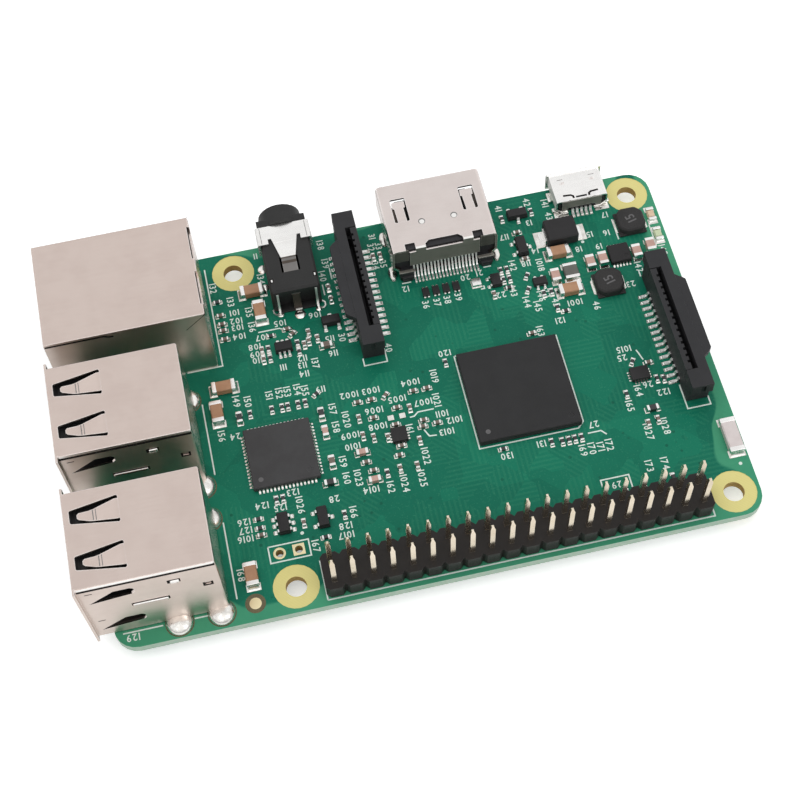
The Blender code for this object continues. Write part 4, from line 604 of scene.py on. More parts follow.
class Coat:
    """Every finish on the board."""

    MASK = SolderMask("solder_mask")
    EDGE = Laminate("laminate_edge", (128, 180, 152), (200, 210, 196))
    RING = Laminate("bare_ring", (214, 204, 124), (226, 216, 142), 0.5, 1.0)
    WALL = Laminate("hole_wall", (172, 140, 72), (196, 166, 98), 0.6)
    SHELL = Plate("tin_plate", (216, 200, 192), (208, 191, 183), (255, 252, 249), rub=0.25)
    # near-white copy of the tin for rolled edges, ribs and edge strips: a painted highlight
    ROLL = Plate("painted_highlight", (255, 254, 251), (252, 248, 244), (255, 254, 252), 0.3)
    SIDE = Plate("shell_side", (222, 208, 199), (212, 197, 188), (255, 252, 249), 0.32)
    PALE = Plate("pale_plate", (224, 214, 210), (216, 205, 201), (255, 253, 251), rub=0.25)
    # grey, half-metal copy of the tin for rear flaps and straps: painted shade
    FLAP = Plate("flap_painted_shade", (136, 133, 125), (112, 109, 101), (236, 232, 226), 0.42, metal=0.35)
    # matt grey copy of the tin for the power port's sides: painted light in place of their mirroring
    DULL = Plate("tin_side_painted_light", (206, 204, 200), (190, 188, 184), (252, 251, 249), 0.4, metal=0.3)
    # dark copy of the tin for the video port's rear corners: painted shade
    CORNER = Plate("corner_painted_shade", (98, 93, 88), (80, 76, 72), (200, 195, 188), 0.45, metal=0.35)
    # grey copy of the tin for bend lines, dips, short lines and dimple rings: painted shade
    DIP = Plate("painted_shade_metal", (128, 125, 123), (108, 106, 104), (200, 198, 196), 0.4)
    LEAD = Plate("tinned_lead", (252, 251, 249), (236, 234, 231), (255, 254, 253), 0.4)
    PAD = Plate("bare_pad", (242, 228, 186), (230, 212, 166), (248, 238, 206), 0.34)
    # dark copy of the tin for faces inside the shells, the jack's middle tongue and creases: painted shade
    INSIDE = Plate("deep_painted_shade", (92, 84, 78), (76, 70, 64), (112, 104, 98), 0.5)
    BRIGHT = Plate("bright_tin", (250, 249, 247), (232, 230, 228), (254, 254, 253), 0.24)
    PIN = Plate("pin_plating", (240, 228, 208), (218, 202, 176), (250, 244, 232), 0.18, 0.1, 9.0)
    GOLD = Plate("contact_gold", (226, 190, 118), (200, 160, 90), (246, 226, 170), 0.22)
    SOLDER = Solder("solder")
    FLUX = Glaze("flux_ring", (96, 86, 50), (70, 62, 38), 0.3, 0.4)
    # near-black finish of seam, slit and shadow lines on the shells and the card socket: painted shadow, partly over
    # real seams and slits
    GAP = Moulding("painted_shadow_dark", (26, 22, 20), (20, 17, 16), (34, 30, 28), 0.7, shine=0.1)
    BLACK = Moulding("black_plastic", (40, 40, 40), (35, 35, 35), (66, 65, 64), 0.5, shine=0.32)
    HEADER = Moulding("header_plastic", (33, 30, 29), (27, 24, 23), (66, 61, 58), 0.42, shine=0.28)
    SOCKET = Moulding("socket_plastic", (48, 48, 50), (42, 42, 44), (72, 72, 74), 0.55, shine=0.26)
    CORE = Moulding("core_plastic", (30, 30, 31), (24, 24, 25), (56, 56, 56), 0.48, shine=0.32)
    RESIN = Moulding("chip_resin", (44, 44, 45), (39, 39, 40), (70, 69, 70), 0.58, 10.0, 0.02, 0.26)
    # lighter copy of the chip resin for the hub chip: a painted sheen
    HUB = Moulding("hub_resin_painted_sheen", (67, 67, 68), (60, 59, 60), (88, 87, 88), 0.58, 10.0, 0.02, 0.26)
    DARK_RESIN = Moulding("dark_resin", (40, 39, 40), (34, 33, 34), (66, 65, 66), 0.55, 9.0, shine=0.3)
    POWDER = Moulding("pressed_powder", (48, 47, 47), (40, 39, 39), (78, 76, 76), 0.62, 5.0, 0.05, 0.3, (64, 62, 62))
    FERRITE = Moulding("ferrite", (104, 104, 98), (92, 92, 87), (136, 136, 129), 0.58, 5.0, 0.04, 0.35)
    TAN = Glaze("ceramic_tan", (178, 136, 104), (160, 116, 86), 0.42, 0.1)
    PINK = Glaze("ceramic_pink", (196, 160, 148), (178, 142, 130), 0.42, 0.1)
    GREY_CERAMIC = Glaze("ceramic_grey", (118, 104, 94), (98, 86, 78), 0.45, 0.1)
    RESISTOR = Glaze("resistor_glass", (38, 38, 40), (28, 28, 30), 0.3, 0.4)
    WHITE_CERAMIC = Glaze("ceramic_white", (218, 208, 206), (206, 194, 192), 0.35, 0.2)
    AMBER = Glaze("lamp_amber", (226, 200, 170), (206, 176, 140), 0.25, 0.6)
    GREEN_LENS = Glaze("lamp_green", (206, 216, 180), (186, 200, 156), 0.25, 0.6)
    INK = Ink("screen_print")
    GREY_MARK = Ink("laser_mark", (96, 95, 96), (80, 79, 80))
    FUSE = Glaze("fuse_green", (60, 110, 74), (48, 92, 62), 0.4, 0.2)


# ---- mesh work


def spot(x: float, y: float, z: float = 0.0, turn: float = 0.0) -> Matrix:
    """Place a form, in millimetres from the middle of the board's top, with a turn in degrees about the vertical."""
    return Matrix.Translation((x, y, z)) @ Matrix.Rotation(math.radians(turn), 4, "Z")


def under(x: float, y: float, turn: float = 0.0) -> Matrix:
    """Place a form on the board's underside, top down."""
    return Matrix.Translation((x, y, -THICK)) @ Matrix.Rotation(math.pi, 4, "X") @ spot(0, 0, 0, turn)


def row(count: int, pitch: float) -> list[float]:
    """Give the places of an even row about its middle."""
    return [(index - (count - 1) / 2) * pitch for index in range(count)]


def extent(node: str) -> tuple[Vector, Vector]:
    """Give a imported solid's lowest and highest corners, in millimetres from the middle of the board's top."""
    low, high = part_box(node)
    return (low - DATUM) / MM, (high - DATUM) / MM


@dataclass
class Form:
    """Vertices, faces and face finishes of a piece, in millimetres from the middle of the board's top."""

    points: list[Vector] = field(default_factory=list)
    faces: list[tuple[int, ...]] = field(default_factory=list)
    finishes: list[Finish] = field(default_factory=list)

    def add(self, other: "Form", place: Matrix = Matrix()) -> "Form":
        """Join a placed copy of another form to this one.

        Args:
            other: form to copy.
            place: where its own origin goes.

        Returns:
            This form.
        """
        start = len(self.points)
        self.points += [place @ p for p in other.points]
        self.faces += [tuple(i + start for i in face) for face in other.faces]
        self.finishes += other.finishes
        return self

    def skin(self, points: Sequence[Any], faces: Sequence[tuple[int, ...]], finish: Finish) -> "Form":
        """Add points and faces of one finish.

        Args:
            points: corners of the faces.
            faces: numbers of each face's corners among these points.
            finish: finish of the faces.

        Returns:
            This form.
        """
        start = len(self.points)
        self.points += [Vector(p) for p in points]
        self.faces += [tuple(i + start for i in face) for face in faces]
        self.finishes += [finish] * len(faces)
        return self

    def blocks(self, rows: Sequence[tuple[Any, ...]], base: Matrix = Matrix()) -> "Form":
        """Join rounded blocks.

        Args:
            rows: size, finish, edge radius, facets and one or more places of each.
            base: where their origin goes.

        Returns:
            This form.
        """
        for size, finish, radius, steps, *places in rows:
            for place in places:
                self.add(block(size, finish, radius, steps), base @ spot(*place))
        return self

    def pairs(self, rows: Sequence[tuple[Any, ...]], base: Matrix) -> None:
        """Join rounded blocks, given with one place each, on both sides of the base."""
        for side in (-1, 1):
            self.blocks([(*looks, (side * x, *rest)) for *looks, (x, *rest) in rows], base)

    def piece(self, name: str, slot: Slot | None = None) -> None:
        """Make the object, smooth its shallow edges and let it ride on the board.

        Args:
            name: name of the piece.
            slot: record slot of the piece; not used.
        """
        mesh = bpy.data.meshes.new(name)
        mesh.from_pydata([p * MM + DATUM for p in self.points], [], self.faces)
        kinds = list(dict.fromkeys(self.finishes))
        for kind in kinds:
            mesh.materials.append(kind.material())
        order = {kind: index for index, kind in enumerate(kinds)}
        mesh.polygons.foreach_set("material_index", [order[kind] for kind in self.finishes])
        mesh.shade_smooth()
        mesh.set_sharp_from_angle(angle=math.radians(SMOOTH_ANGLE))
        mesh.update()
        made = bpy.data.objects.new(name, mesh)
        bpy.context.scene.collection.objects.link(made)
        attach(made, "board")
        LOG.info("piece %s: %d faces", name, len(self.faces))


@cache
def block(size: Size, finish: Finish, radius: float = 0.05, steps: int = 2, top: Pair | None = None) -> Form:
    """A block with rounded edges that stands on its origin.

    Args:
        size: length, width and height.
        finish: finish of all faces.
        radius: radius of the edges.
        steps: facets of each rounding.
        top: length and width at the top, where it tapers.

    Returns:
        The form.
    """
    shape = bmesh.new()
    bmesh.ops.create_cube(shape, size=1.0)
    for vertex in shape.verts:
        wide = top if top and vertex.co.z > 0 else size
        vertex.co = Vector((vertex.co.x * wide[0], vertex.co.y * wide[1], (vertex.co.z + 0.5) * size[2]))
    if radius:
        bmesh.ops.bevel(
            shape, geom=shape.edges[:], offset=radius, segments=steps, profile=0.5, affect="EDGES", clamp_overlap=True
        )
    shape.verts.index_update()
    form = Form().skin(
        [v.co.copy() for v in shape.verts], [tuple(v.index for v in f.verts) for f in shape.faces], finish
    )
    shape.free()
    return form


def turned(profile: Flat, finish: Finish, sides: int = 20, hollow: bool = False) -> Form:
    """A form turned about the vertical.

    Args:
        profile: radius and height of each ring, from the lowest one up to the upper pole, or all round where hollow.
        finish: finish of all faces.
        sides: sides of the circle.
        hollow: whether the last ring joins the first one, round an open middle.

    Returns:
        The closed form.
    """
    points: list[Size] = []
    rings: list[range] = []
    for radius, height in profile if hollow else [(0.0, profile[0][1]), *profile]:
        rings.append(range(len(points), len(points) + (sides if radius else 1)))
        for index in range(len(rings[-1])):
            angle = math.tau * index / sides
            points.append((radius * math.cos(angle), radius * math.sin(angle), height))
    faces: list[tuple[int, ...]] = []
    for low, high in zip(rings, [*rings[1:], rings[0]] if hollow else rings[1:]):
        for index in range(sides):
            corners = ((low, index), (low, index + 1), (high, index + 1), (high, index))
            faces.append(tuple(dict.fromkeys(ring[step % len(ring)] for ring, step in corners)))
    return Form().skin(points, faces, finish)


def walled(outline: Flat, low: float, high: float, finish: Finish) -> Form:
    """A flat plate of any outline.

    Args:
        outline: corners, anticlockwise.
        low: height of its lower face.
        high: height of its upper face.
        finish: finish of all faces.

    Returns:
        The closed form.
    """
    count = len(outline)
    points = [(x, y, low) for x, y in outline] + [(x, y, high) for x, y in outline]
    faces = [tuple(reversed(range(count))), tuple(range(count, 2 * count))]
    faces += [(i, (i + 1) % count, (i + 1) % count + count, i + count) for i in range(count)]
    return Form().skin(points, faces, finish)


def ribbon(path: Flat, thick: float, wide: float, finish: Finish) -> Form:
    """A bent strip of sheet in the plane of x and z.

    Args:
        path: middle line of the strip as x and z.
        thick: thickness of the sheet.
        wide: width along y.
        finish: finish of all faces.

    Returns:
        The closed form.
    """
    line = [Vector(p) for p in path]
    sides: list[tuple[Vector, Vector]] = []
    for index, here in enumerate(line):
        before = (here - line[index - 1]).normalized() if index else (line[1] - here).normalized()
        after = (line[index + 1] - here).normalized() if index < len(line) - 1 else before
        bisect = Vector((-(before.y + after.y), before.x + after.x)).normalized()
        reach = thick / 2 / max(0.5, bisect.dot(Vector((-before.y, before.x))))
        sides.append((here + bisect * reach, here - bisect * reach))
    points: list[Size] = []
    for upper, lower in sides:
        for x, z in (upper, lower):
            points += [(x, -wide / 2, z), (x, wide / 2, z)]
    faces: list[tuple[int, ...]] = [(0, 2, 3, 1)]
    for index in range(len(line) - 1):
        a = index * 4
        b = a + 4
        for one, two in ((0, 1), (3, 2), (2, 0), (1, 3)):
            faces.append((a + one, a + two, b + two, b + one))
    last = (len(line) - 1) * 4
    faces.append((last, last + 1, last + 3, last + 2))
    return Form().skin(points, faces, finish)


def tape(path: Flat, wide: float, finish: Finish, low: float = INK_FOOT, high: float = INK_TOP) -> Form:
    """A flat line with mitred corners.

    Args:
        path: middle line as x and y.
        wide: width of the line.
        finish: finish of the line.
        low: height of its lower face.
        high: height of its upper face.

    Returns:
        The closed form.
    """
    strip = ribbon(path, wide, high - low, finish)
    lift = (low + high) / 2
    points = [(p.x, p.z, lift - p.y) for p in strip.points]
    return Form().skin(points, strip.faces, finish)


@cache
def fillet(wide: float, reach: float, tall: float) -> Form:
    """A wedge of solder that climbs from a pad towards -x.

    Args:
        wide: width along y.
        reach: length of its foot.
        tall: height that it climbs to.

    Returns:
        The closed form, with its upright face at x 0.
    """
    curve = [(reach * x, tall * z) for x, z in ((0.8, 0.1), (0.42, 0.28), (0.16, 0.62), (0.0, 1.0))]
    profile = [(-0.04, 0.0), (reach, 0.0), (reach, 0.02), *curve, (-0.04, tall)]
    count = len(profile)
    points = [(x, half * (1 - 0.12 * z / tall), z) for half in (-wide / 2, wide / 2) for x, z in profile]
    faces = [tuple(range(count)), tuple(reversed(range(count, 2 * count)))]
    faces += [(i + count, (i + 1) % count + count, (i + 1) % count, i) for i in range(count)]
    return Form().skin(points, faces, Coat.SOLDER)


@cache
def digit(mark: str) -> tuple[Form, float]:
    """One printed digit of unit height.

    Args:
        mark: the digit.

    Returns:
        The form and its width.
    """
    curve = bpy.data.curves.new("digit", "FONT")
    curve.body = mark
    curve.resolution_u = 2
    curve.offset = 0.014
    curve.extrude = 0.5
    holder = bpy.data.objects.new("digit", curve)
    bpy.context.scene.collection.objects.link(holder)
    solid = bpy.data.meshes.new_from_object(holder.evaluated_get(bpy.context.evaluated_depsgraph_get()))
    corners = [v.co.copy() for v in solid.vertices]
    low = Vector((min(p.x for p in corners), min(p.y for p in corners), 0))
    tall = max(p.y for p in corners) - low.y
    points = [(p - low) / tall for p in corners]
    faces = [tuple(f.vertices) for f in solid.polygons]
    bpy.data.objects.remove(holder)
    bpy.data.curves.remove(curve)
    bpy.data.meshes.remove(solid)
    for point in points:
        point.z = INK_TOP if point.z > 0 else INK_FOOT
    return Form().skin(points, faces, Coat.INK), max(p.x for p in points)


def number(text: str, tall: float, squeeze: float = 0.92, gap: float = 0.2) -> Form:
    """A printed number about its own middle, read along x.

    Args:
        text: digits to print.
        tall: height of the digits.
        squeeze: width of a digit against its own shape.
        gap: space between digits, as a share of their height.

    Returns:
        The form.
    """
    form = Form()
    shapes = [digit(mark) for mark in text]
    total = sum(width * squeeze + gap for _, width in shapes) - gap
    x = -total / 2
    for shape, width in shapes:
        moved = Matrix.Translation((x * tall, -tall / 2, 0)) @ Matrix.Diagonal((tall * squeeze, tall, 1, 1))
        form.add(shape, moved)
        x += width * squeeze + gap
    return form


def dress(node: str, *finishes: Finish, rule: Rule | None = None, bevel: float = 0.0) -> None:
    """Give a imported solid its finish, welded faces, smooth curves and softened edges.

    Args:
        node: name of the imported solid.
        *finishes: its finishes, in the order that the rule counts them.
        rule: picks a finish from a face's middle and normal, in millimetres from the board's top.
        bevel: width of the softened edges in millimetres, or 0.
    """
    solid = frame["nodes"][node]
    solid.data.materials.clear()
    for finish in finishes:
        solid.data.materials.append(finish.material())
    if rule:
        picked = [rule((Vector(p.center) - DATUM) / MM, Vector(p.normal)) for p in solid.data.polygons]
        solid.data.polygons.foreach_set("material_index", picked)
    smooth = solid.modifiers.new("soft_normals", "NODES")
    smooth.node_group = soft_normals()
    even = solid.modifiers.new("even_normals", "WEIGHTED_NORMAL")
    even.keep_sharp = True
    if bevel:
        edge = solid.modifiers.new("softened_edges", "BEVEL")
        edge.width = bevel * MM
        edge.segments = 2
        edge.limit_method = "ANGLE"
        edge.angle_limit = math.radians(SOFT_ANGLE)
        edge.harden_normals = True
    LOG.info("solid %s dressed", node)


def dress_each(bevel: float, **finishes: Finish) -> None:
    """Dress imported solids, given by name, in one finish each."""
    for node, finish in finishes.items():
        dress(node, finish, bevel=bevel)


def inner_faces(low: Sequence[float], high: Sequence[float], along: int, sheet: float = 0.12) -> Rule:
    """Make a rule that finds the faces which look into a sheet shell.

    Args:
        low: lowest corner of the shell, without lips and legs.
        high: its highest corner.
        along: axis that its mouth opens along, 0 for x and 1 for y.
        sheet: depth from which a face counts as inside.

    Returns:
        A rule that gives 1 for an inner face and 0 for any other.
    """
    middle = (Vector(low) + Vector(high)) / 2
    across = [axis for axis in range(3) if axis != along]

    def rule(face: Vector, normal: Vector) -> int:
        """Look whether the face is sunk and turned to the middle."""
        sunk = all(low[axis] + sheet < face[axis] < high[axis] - sheet for axis in across)
        return int(sunk and sum(normal[axis] * (middle[axis] - face[axis]) for axis in across) > 0.01)

    return rule


def rolled_edges(inner: Rule, top: float, deep: float = 0.45) -> Rule:
    """Make a rule that also finds a shell's rolled top edges and its upright sides.

    Args:
        inner: rule that gives 1 for inner faces.
        top: height of the shell.
        deep: how far below the top a rolled edge reaches.

    Returns:
        A rule that gives 1 for an inner face, 2 for a rolled edge, 3 for a side and 0 for any other.
    """

    def rule(face: Vector, normal: Vector) -> int:
        """Tell the face by its height and slope."""
        rolled = face.z > top - deep and abs(normal.y) > 0.8 and normal.z > 0.2
        return 2 if rolled else 1 if inner(face, normal) else 3 if abs(normal.y) > 0.9 else 0

    return rule


def upright(path: Flat, wide: float, finish: Finish, y: float, side: int) -> Form:
    """A thin line, given as x and z, that lies a hair proud of an upright wall facing -y or +y, side -1 or 1."""
    flat = tape([(x, -side * z) for x, z in path], wide, finish, LINE_FOOT, LINE_TOP)
    return Form().add(flat, Matrix.Translation((0, y, 0)) @ Matrix.Rotation(-side * math.pi / 2, 4, "X"))


@cache
def soft_normals() -> Tree:
    """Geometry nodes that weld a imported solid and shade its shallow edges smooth.

    Returns:
        The group.
    """
    tree = bpy.data.node_groups.new("soft_normals", "GeometryNodeTree")
    tree.interface.new_socket("Geometry", in_out="INPUT", socket_type="NodeSocketGeometry")
    tree.interface.new_socket("Geometry", in_out="OUTPUT", socket_type="NodeSocketGeometry")
    first = tree.nodes.new("NodeGroupInput")
    last = tree.nodes.new("NodeGroupOutput")
    weld = tree.nodes.new("GeometryNodeMergeByDistance")
    weld.inputs["Distance"].default_value = 1e-6
    angle = tree.nodes.new("GeometryNodeInputMeshEdgeAngle")
    sharp = tree.nodes.new("FunctionNodeCompare")
    sharp.inputs[1].default_value = math.radians(SMOOTH_ANGLE)
    normal = tree.nodes.new("GeometryNodeSetMeshNormal")
    normal.inputs["Remove Custom"].default_value = True
    tree.links.new(first.outputs[0], weld.inputs[0])
    tree.links.new(angle.outputs[0], sharp.inputs[0])
    tree.links.new(weld.outputs[0], normal.inputs["Mesh"])
    tree.links.new(sharp.outputs[0], normal.inputs["Edge Sharpness"])
    tree.links.new(normal.outputs[0], last.inputs[0])
    return tree


# ---- sub-assemblies


@dataclass
class Board:
    """The bare board: mask, cut edge, bare rings and hole walls."""

    half_length: float = 42.5
    half_width: float = 28.0
    corner: float = 3.0
    hole_x: Pair = (-19.0, 39.0)
    hole_y: float = 24.5
    round_pad: Pair = (-20.27, -19.55)
    square_pad: Pair = (-17.73, -19.55)
    aim_mark: Pair = (-24.45, -25.6)
    bore: float = 0.52
    pad_half: float = 0.78
    pad_tall: float = 0.05
    edge_band: float = 0.15
    ring_reach: Pair = (2.5, 3.2)
    RING_PAD = ((0.52, 0.0), (0.82, 0.0), (0.82, 0.03), (0.78, 0.05), (0.56, 0.05), (0.52, 0.03))
    AIM = ((0.78, 0.0), (0.78, 0.02), (0.72, 0.035), (0.0, 0.035))
    AIM_CLEAR = ((1.32, -0.005), (1.32, 0.006), (0.0, 0.006))

    def face_kind(self, middle: Vector, normal: Vector) -> int:
        """Tell a face of the board by its place.

        Args:
            middle: middle of the face.
            normal: its normal.

        Returns:
            0 for mask, 1 for the cut edge, 2 for a bare ring and 3 for the wall of a hole.
        """
        if abs(normal.z) > 0.7:
            sunk = -THICK + 0.01 < middle.z < -0.01
            return 2 if sunk else 0
        inner_x = abs(middle.x) - (self.half_length - self.corner)
        inner_y = abs(middle.y) - (self.half_width - self.corner)
        reach = math.hypot(max(inner_x, 0), max(inner_y, 0))
        if reach > self.corner - self.edge_band:
            return 1
        near = min(math.hypot(middle.x - x, abs(middle.y) - self.hole_y) for x in self.hole_x)
        return 2 if self.ring_reach[0] < near < self.ring_reach[1] else 3

    def build(self) -> None:
        """Dress the board and lay its bare pads."""
        dress("circuit_board", Coat.MASK, Coat.EDGE, Coat.RING, Coat.WALL, rule=self.face_kind)
        pads = Form()
        pads.add(turned(self.RING_PAD, Coat.PAD, 24, hollow=True), spot(*self.round_pad))
        pads.add(self.square_ring(), spot(*self.square_pad))
        for side in (spot(*self.aim_mark), under(*self.aim_mark)):
            pads.add(turned(self.AIM_CLEAR, Coat.FLUX, 32), side).add(turned(self.AIM, Coat.PAD, 28), side)
        pads.piece("bare_pads", Slot.BRIGHT_TIN)

    def square_ring(self, steps: int = 24) -> Form:
        """A square pad round a hole.

        Args:
            steps: sides of the hole.

        Returns:
            The closed form.
        """
        points: list[Size] = []
        for height in (0.0, self.pad_tall):
            for index in range(steps):
                angle = math.tau * index / steps
                c, s = math.cos(angle), math.sin(angle)
                for reach in (self.bore, self.pad_half / max(abs(c), abs(s))):
                    points.append((reach * c, reach * s, height))
        faces: list[tuple[int, ...]] = []
        for index in range(steps):
            a, b = 2 * index, 2 * ((index + 1) % steps)
            c, d = a + 2 * steps, b + 2 * steps
            faces += [(c, c + 1, d + 1, d), (a, b, b + 1, a + 1), (a + 1, b + 1, d + 1, c + 1), (b, a, c, d)]
        return Form().skin(points, faces, Coat.PAD)


class PartKind(Enum):
    """Chip parts by name of their piece, length, width, height, end-cap length and body finish."""

    RESISTOR = ("chip_resistors", 1.0, 0.52, 0.36, 0.24, Coat.RESISTOR)
    CAPACITOR = ("chip_capacitors", 1.0, 0.52, 0.5, 0.26, Coat.GREY_CERAMIC)
    BEAD = ("chip_beads", 1.6, 0.8, 0.8, 0.36, Coat.RESISTOR)
    MIDDLE = ("middle_capacitors", 1.6, 0.82, 0.8, 0.38, Coat.PINK)
    MIDDLE_GREY = ("grey_capacitors", 1.6, 0.82, 0.8, 0.38, Coat.GREY_CERAMIC)
    LARGE = ("square_capacitors", 2.0, 1.25, 1.0, 0.46, Coat.PINK)


@dataclass
class ChipParts:
    """Small resistors and capacitors with tinned ends, pads and solder, at the places where their tops are seen."""

    lean: float = 0.58
    eye_x: float = -21.9
    eye_far: float = 223.0
    read_at: float = 0.7
    filter_y: float = 14.75
    PLACES = {
        PartKind.RESISTOR: (
            (-22.0, 20.2, 0), (-20.5, 1.5, 90), (-17.5, 1.5, 90), (-16.1, 1.5, 90), (-15.3, 1.5, 90), (-13.9, 1.5, 90),
            (-12.9, 1.5, 90), (-11.2, 2.5, 35), (-19.3, -11.9, 90), (-18.4, -11.9, 90), (-22.1, -14.1, 0),
            (-22.1, -15.4, 0), (-14.0, -18.6, 0), (-11.0, -16.0, 90), (-4.3, -11.4, 90), (20.4, 24.6, 90),
            (24.8, 24.9, 90), (18.05, 16.0, 90), (18.95, 16.0, 90), (18.05, 14.4, 90), (18.95, 14.4, 90),
            (18.5, 13.0, 0), (21.4, 14.3, 60), (21.0, 12.0, 60), (23.0, 10.9, 90), (24.1, 10.9, 90), (7.0, 3.2, 90),
            (25.2, 7.4, 0), (24.2, 8.2, 90), (29.6, -7.3, 90), (31.8, -2.6, 60), (34.3, -5.9, 90), (35.2, -6.1, 90),
            (11.4, -11.5, 0), (17.9, -12.0, 90), (19.3, -12.2, 90), (20.2, -12.2, 90), (21.05, -12.2, 90),
            (21.95, -12.2, 90), (25.5, -20.6, 90), (28.0, -20.8, 90), (32.0, -20.6, 90), (-16.3, 9.5, 90),
            (-16.3, 11.0, 90), (-15.6, 13.0, 0), (-12.2, 11.0, 90), (-12.2, 9.6, 90),
        ),
        PartKind.CAPACITOR: (
            (-21.9, 17.9, 0), (-21.9, 16.45, 0), (-21.9, 15.4, 0), (-21.9, 13.95, 0), (-22.1, -16.4, 0),
            (-16.4, -15.9, 90), (-17.2, 9.5, 90), (-17.2, 11.0, 90), (-11.3, 10.6, 90), (-12.6, 12.7, 35),
            (-13.2, 13.6, 0), (-10.4, 12.4, 90), (-6.0, -0.1, 0), (-4.1, -0.1, 0), (-2.1, 0.1, 45), (1.7, -0.1, 0),
            (3.6, -0.1, 0), (-6.3, -2.5, 90), (-4.4, -2.9, 0), (-1.0, -2.1, 0), (0.7, -2.5, 90), (-6.3, -5.2, 90),
            (-4.95, -5.8, 90), (-1.7, -4.6, 0), (-3.1, -6.2, 90), (-1.6, -7.9, 0), (2.1, -4.8, 0), (1.8, -5.7, 0),
            (3.8, -5.6, 0), (0.95, -7.6, 90), (-6.7, -9.2, 0), (-2.2, -9.2, 0), (-6.0, -10.6, 0), (-2.5, -11.1, 90),
            (-0.2, -11.2, 90), (1.0, 22.6, 90), (2.0, 22.6, 90), (-6.25, 19.0, 90), (-6.25, 17.0, 90),
            (-10.6, 11.0, 90), (-9.35, 11.2, 90), (21.9, 21.8, 0), (21.9, 17.2, 0), (19.7, 5.0, 0), (31.2, -12.2, 90),
            (32.6, -11.9, 90), (33.9, -3.2, 0), (16.2, 12.4, 90),
        ),
        PartKind.BEAD: ((-22.0, 1.3, 90), (-11.1, -0.6, 90), (-11.9, -11.0, 0), (32.4, -10.1, 0)),
        PartKind.MIDDLE: ((-11.1, -3.4, 90), (-6.9, -7.6, 0), (-6.1, -11.9, 0)),
        PartKind.MIDDLE_GREY: ((-11.1, -8.0, 90), (-8.3, 9.8, 0)),
        PartKind.LARGE: ((30.75, 14.5, 90), (32.6, 14.6, 90), (37.6, 14.7, 90), (39.8, 15.3, 90), (25.35, 13.4, 90)),
    }
    FILTERS = (6.9, 8.35, 9.8, 11.25)

    @staticmethod
    @cache
    def part(kind: PartKind) -> Form:
        """One chip part with its ends along x.

        Args:
            kind: its size and finish.

        Returns:
            The form, standing on the board.
        """
        _, long, wide, tall, cap, finish = kind.value
        form = Form().add(block((long - 0.08, wide - 0.06, tall - 0.04), finish, 0.03, 1), spot(0, 0, 0.05))
        reach = 0.18 + 0.12 * tall
        tin = block((cap, wide, tall), Coat.BRIGHT, min(0.06, cap / 4))
        pad = block((cap + reach, wide + 0.1, 0.035), Coat.SOLDER, 0.012, 1)
        for side in (0, 180):
            end = spot(0, 0, 0, side) @ spot(long / 2, 0)
            form.add(tin, end @ spot(-cap / 2, 0, 0.03)).add(pad, end @ spot((reach - cap) / 2, 0))
            form.add(fillet(wide * 0.94, reach * 0.9, tall * 0.72), end @ spot(0, 0, 0.03))
        return form

    def settle(self, x: float, y: float, tall: float) -> Pair:
        """Bring a place that was read near a part's top down to its foot on the board."""
        level = tall * self.read_at
        return x - (x - self.eye_x) / self.eye_far * level, y - self.lean * level

    def build(self) -> None:
        """Set every small part on the board, one piece for each kind."""
        for kind, places in self.PLACES.items():
            name, _, _, tall, _, finish = kind.value
            form = Form()
            for x, y, turn in places:
                form.add(self.part(kind), spot(*self.settle(x, y, tall), 0, turn))
            form.piece(name, Slot.CHIP_RESIN if finish is Coat.RESISTOR else Slot.CERAMIC_TAN)
        self.filters()

    def filters(self) -> None:
        """Four line filters behind the video port, each a dark body with four pads."""
        form = Form()
        for x in self.FILTERS:
            form.add(block((0.95, 1.3, 0.5), Coat.DARK_RESIN, 0.04, 1), spot(x, self.filter_y, 0.03))
            for dx, dy in product((-0.27, 0.27), (-0.72, 0.72)):
                form.add(block((0.3, 0.42, 0.3), Coat.SOLDER, 0.07), spot(x + dx, self.filter_y + dy))
        form.piece("line_filters", Slot.CHIP_RESIN)


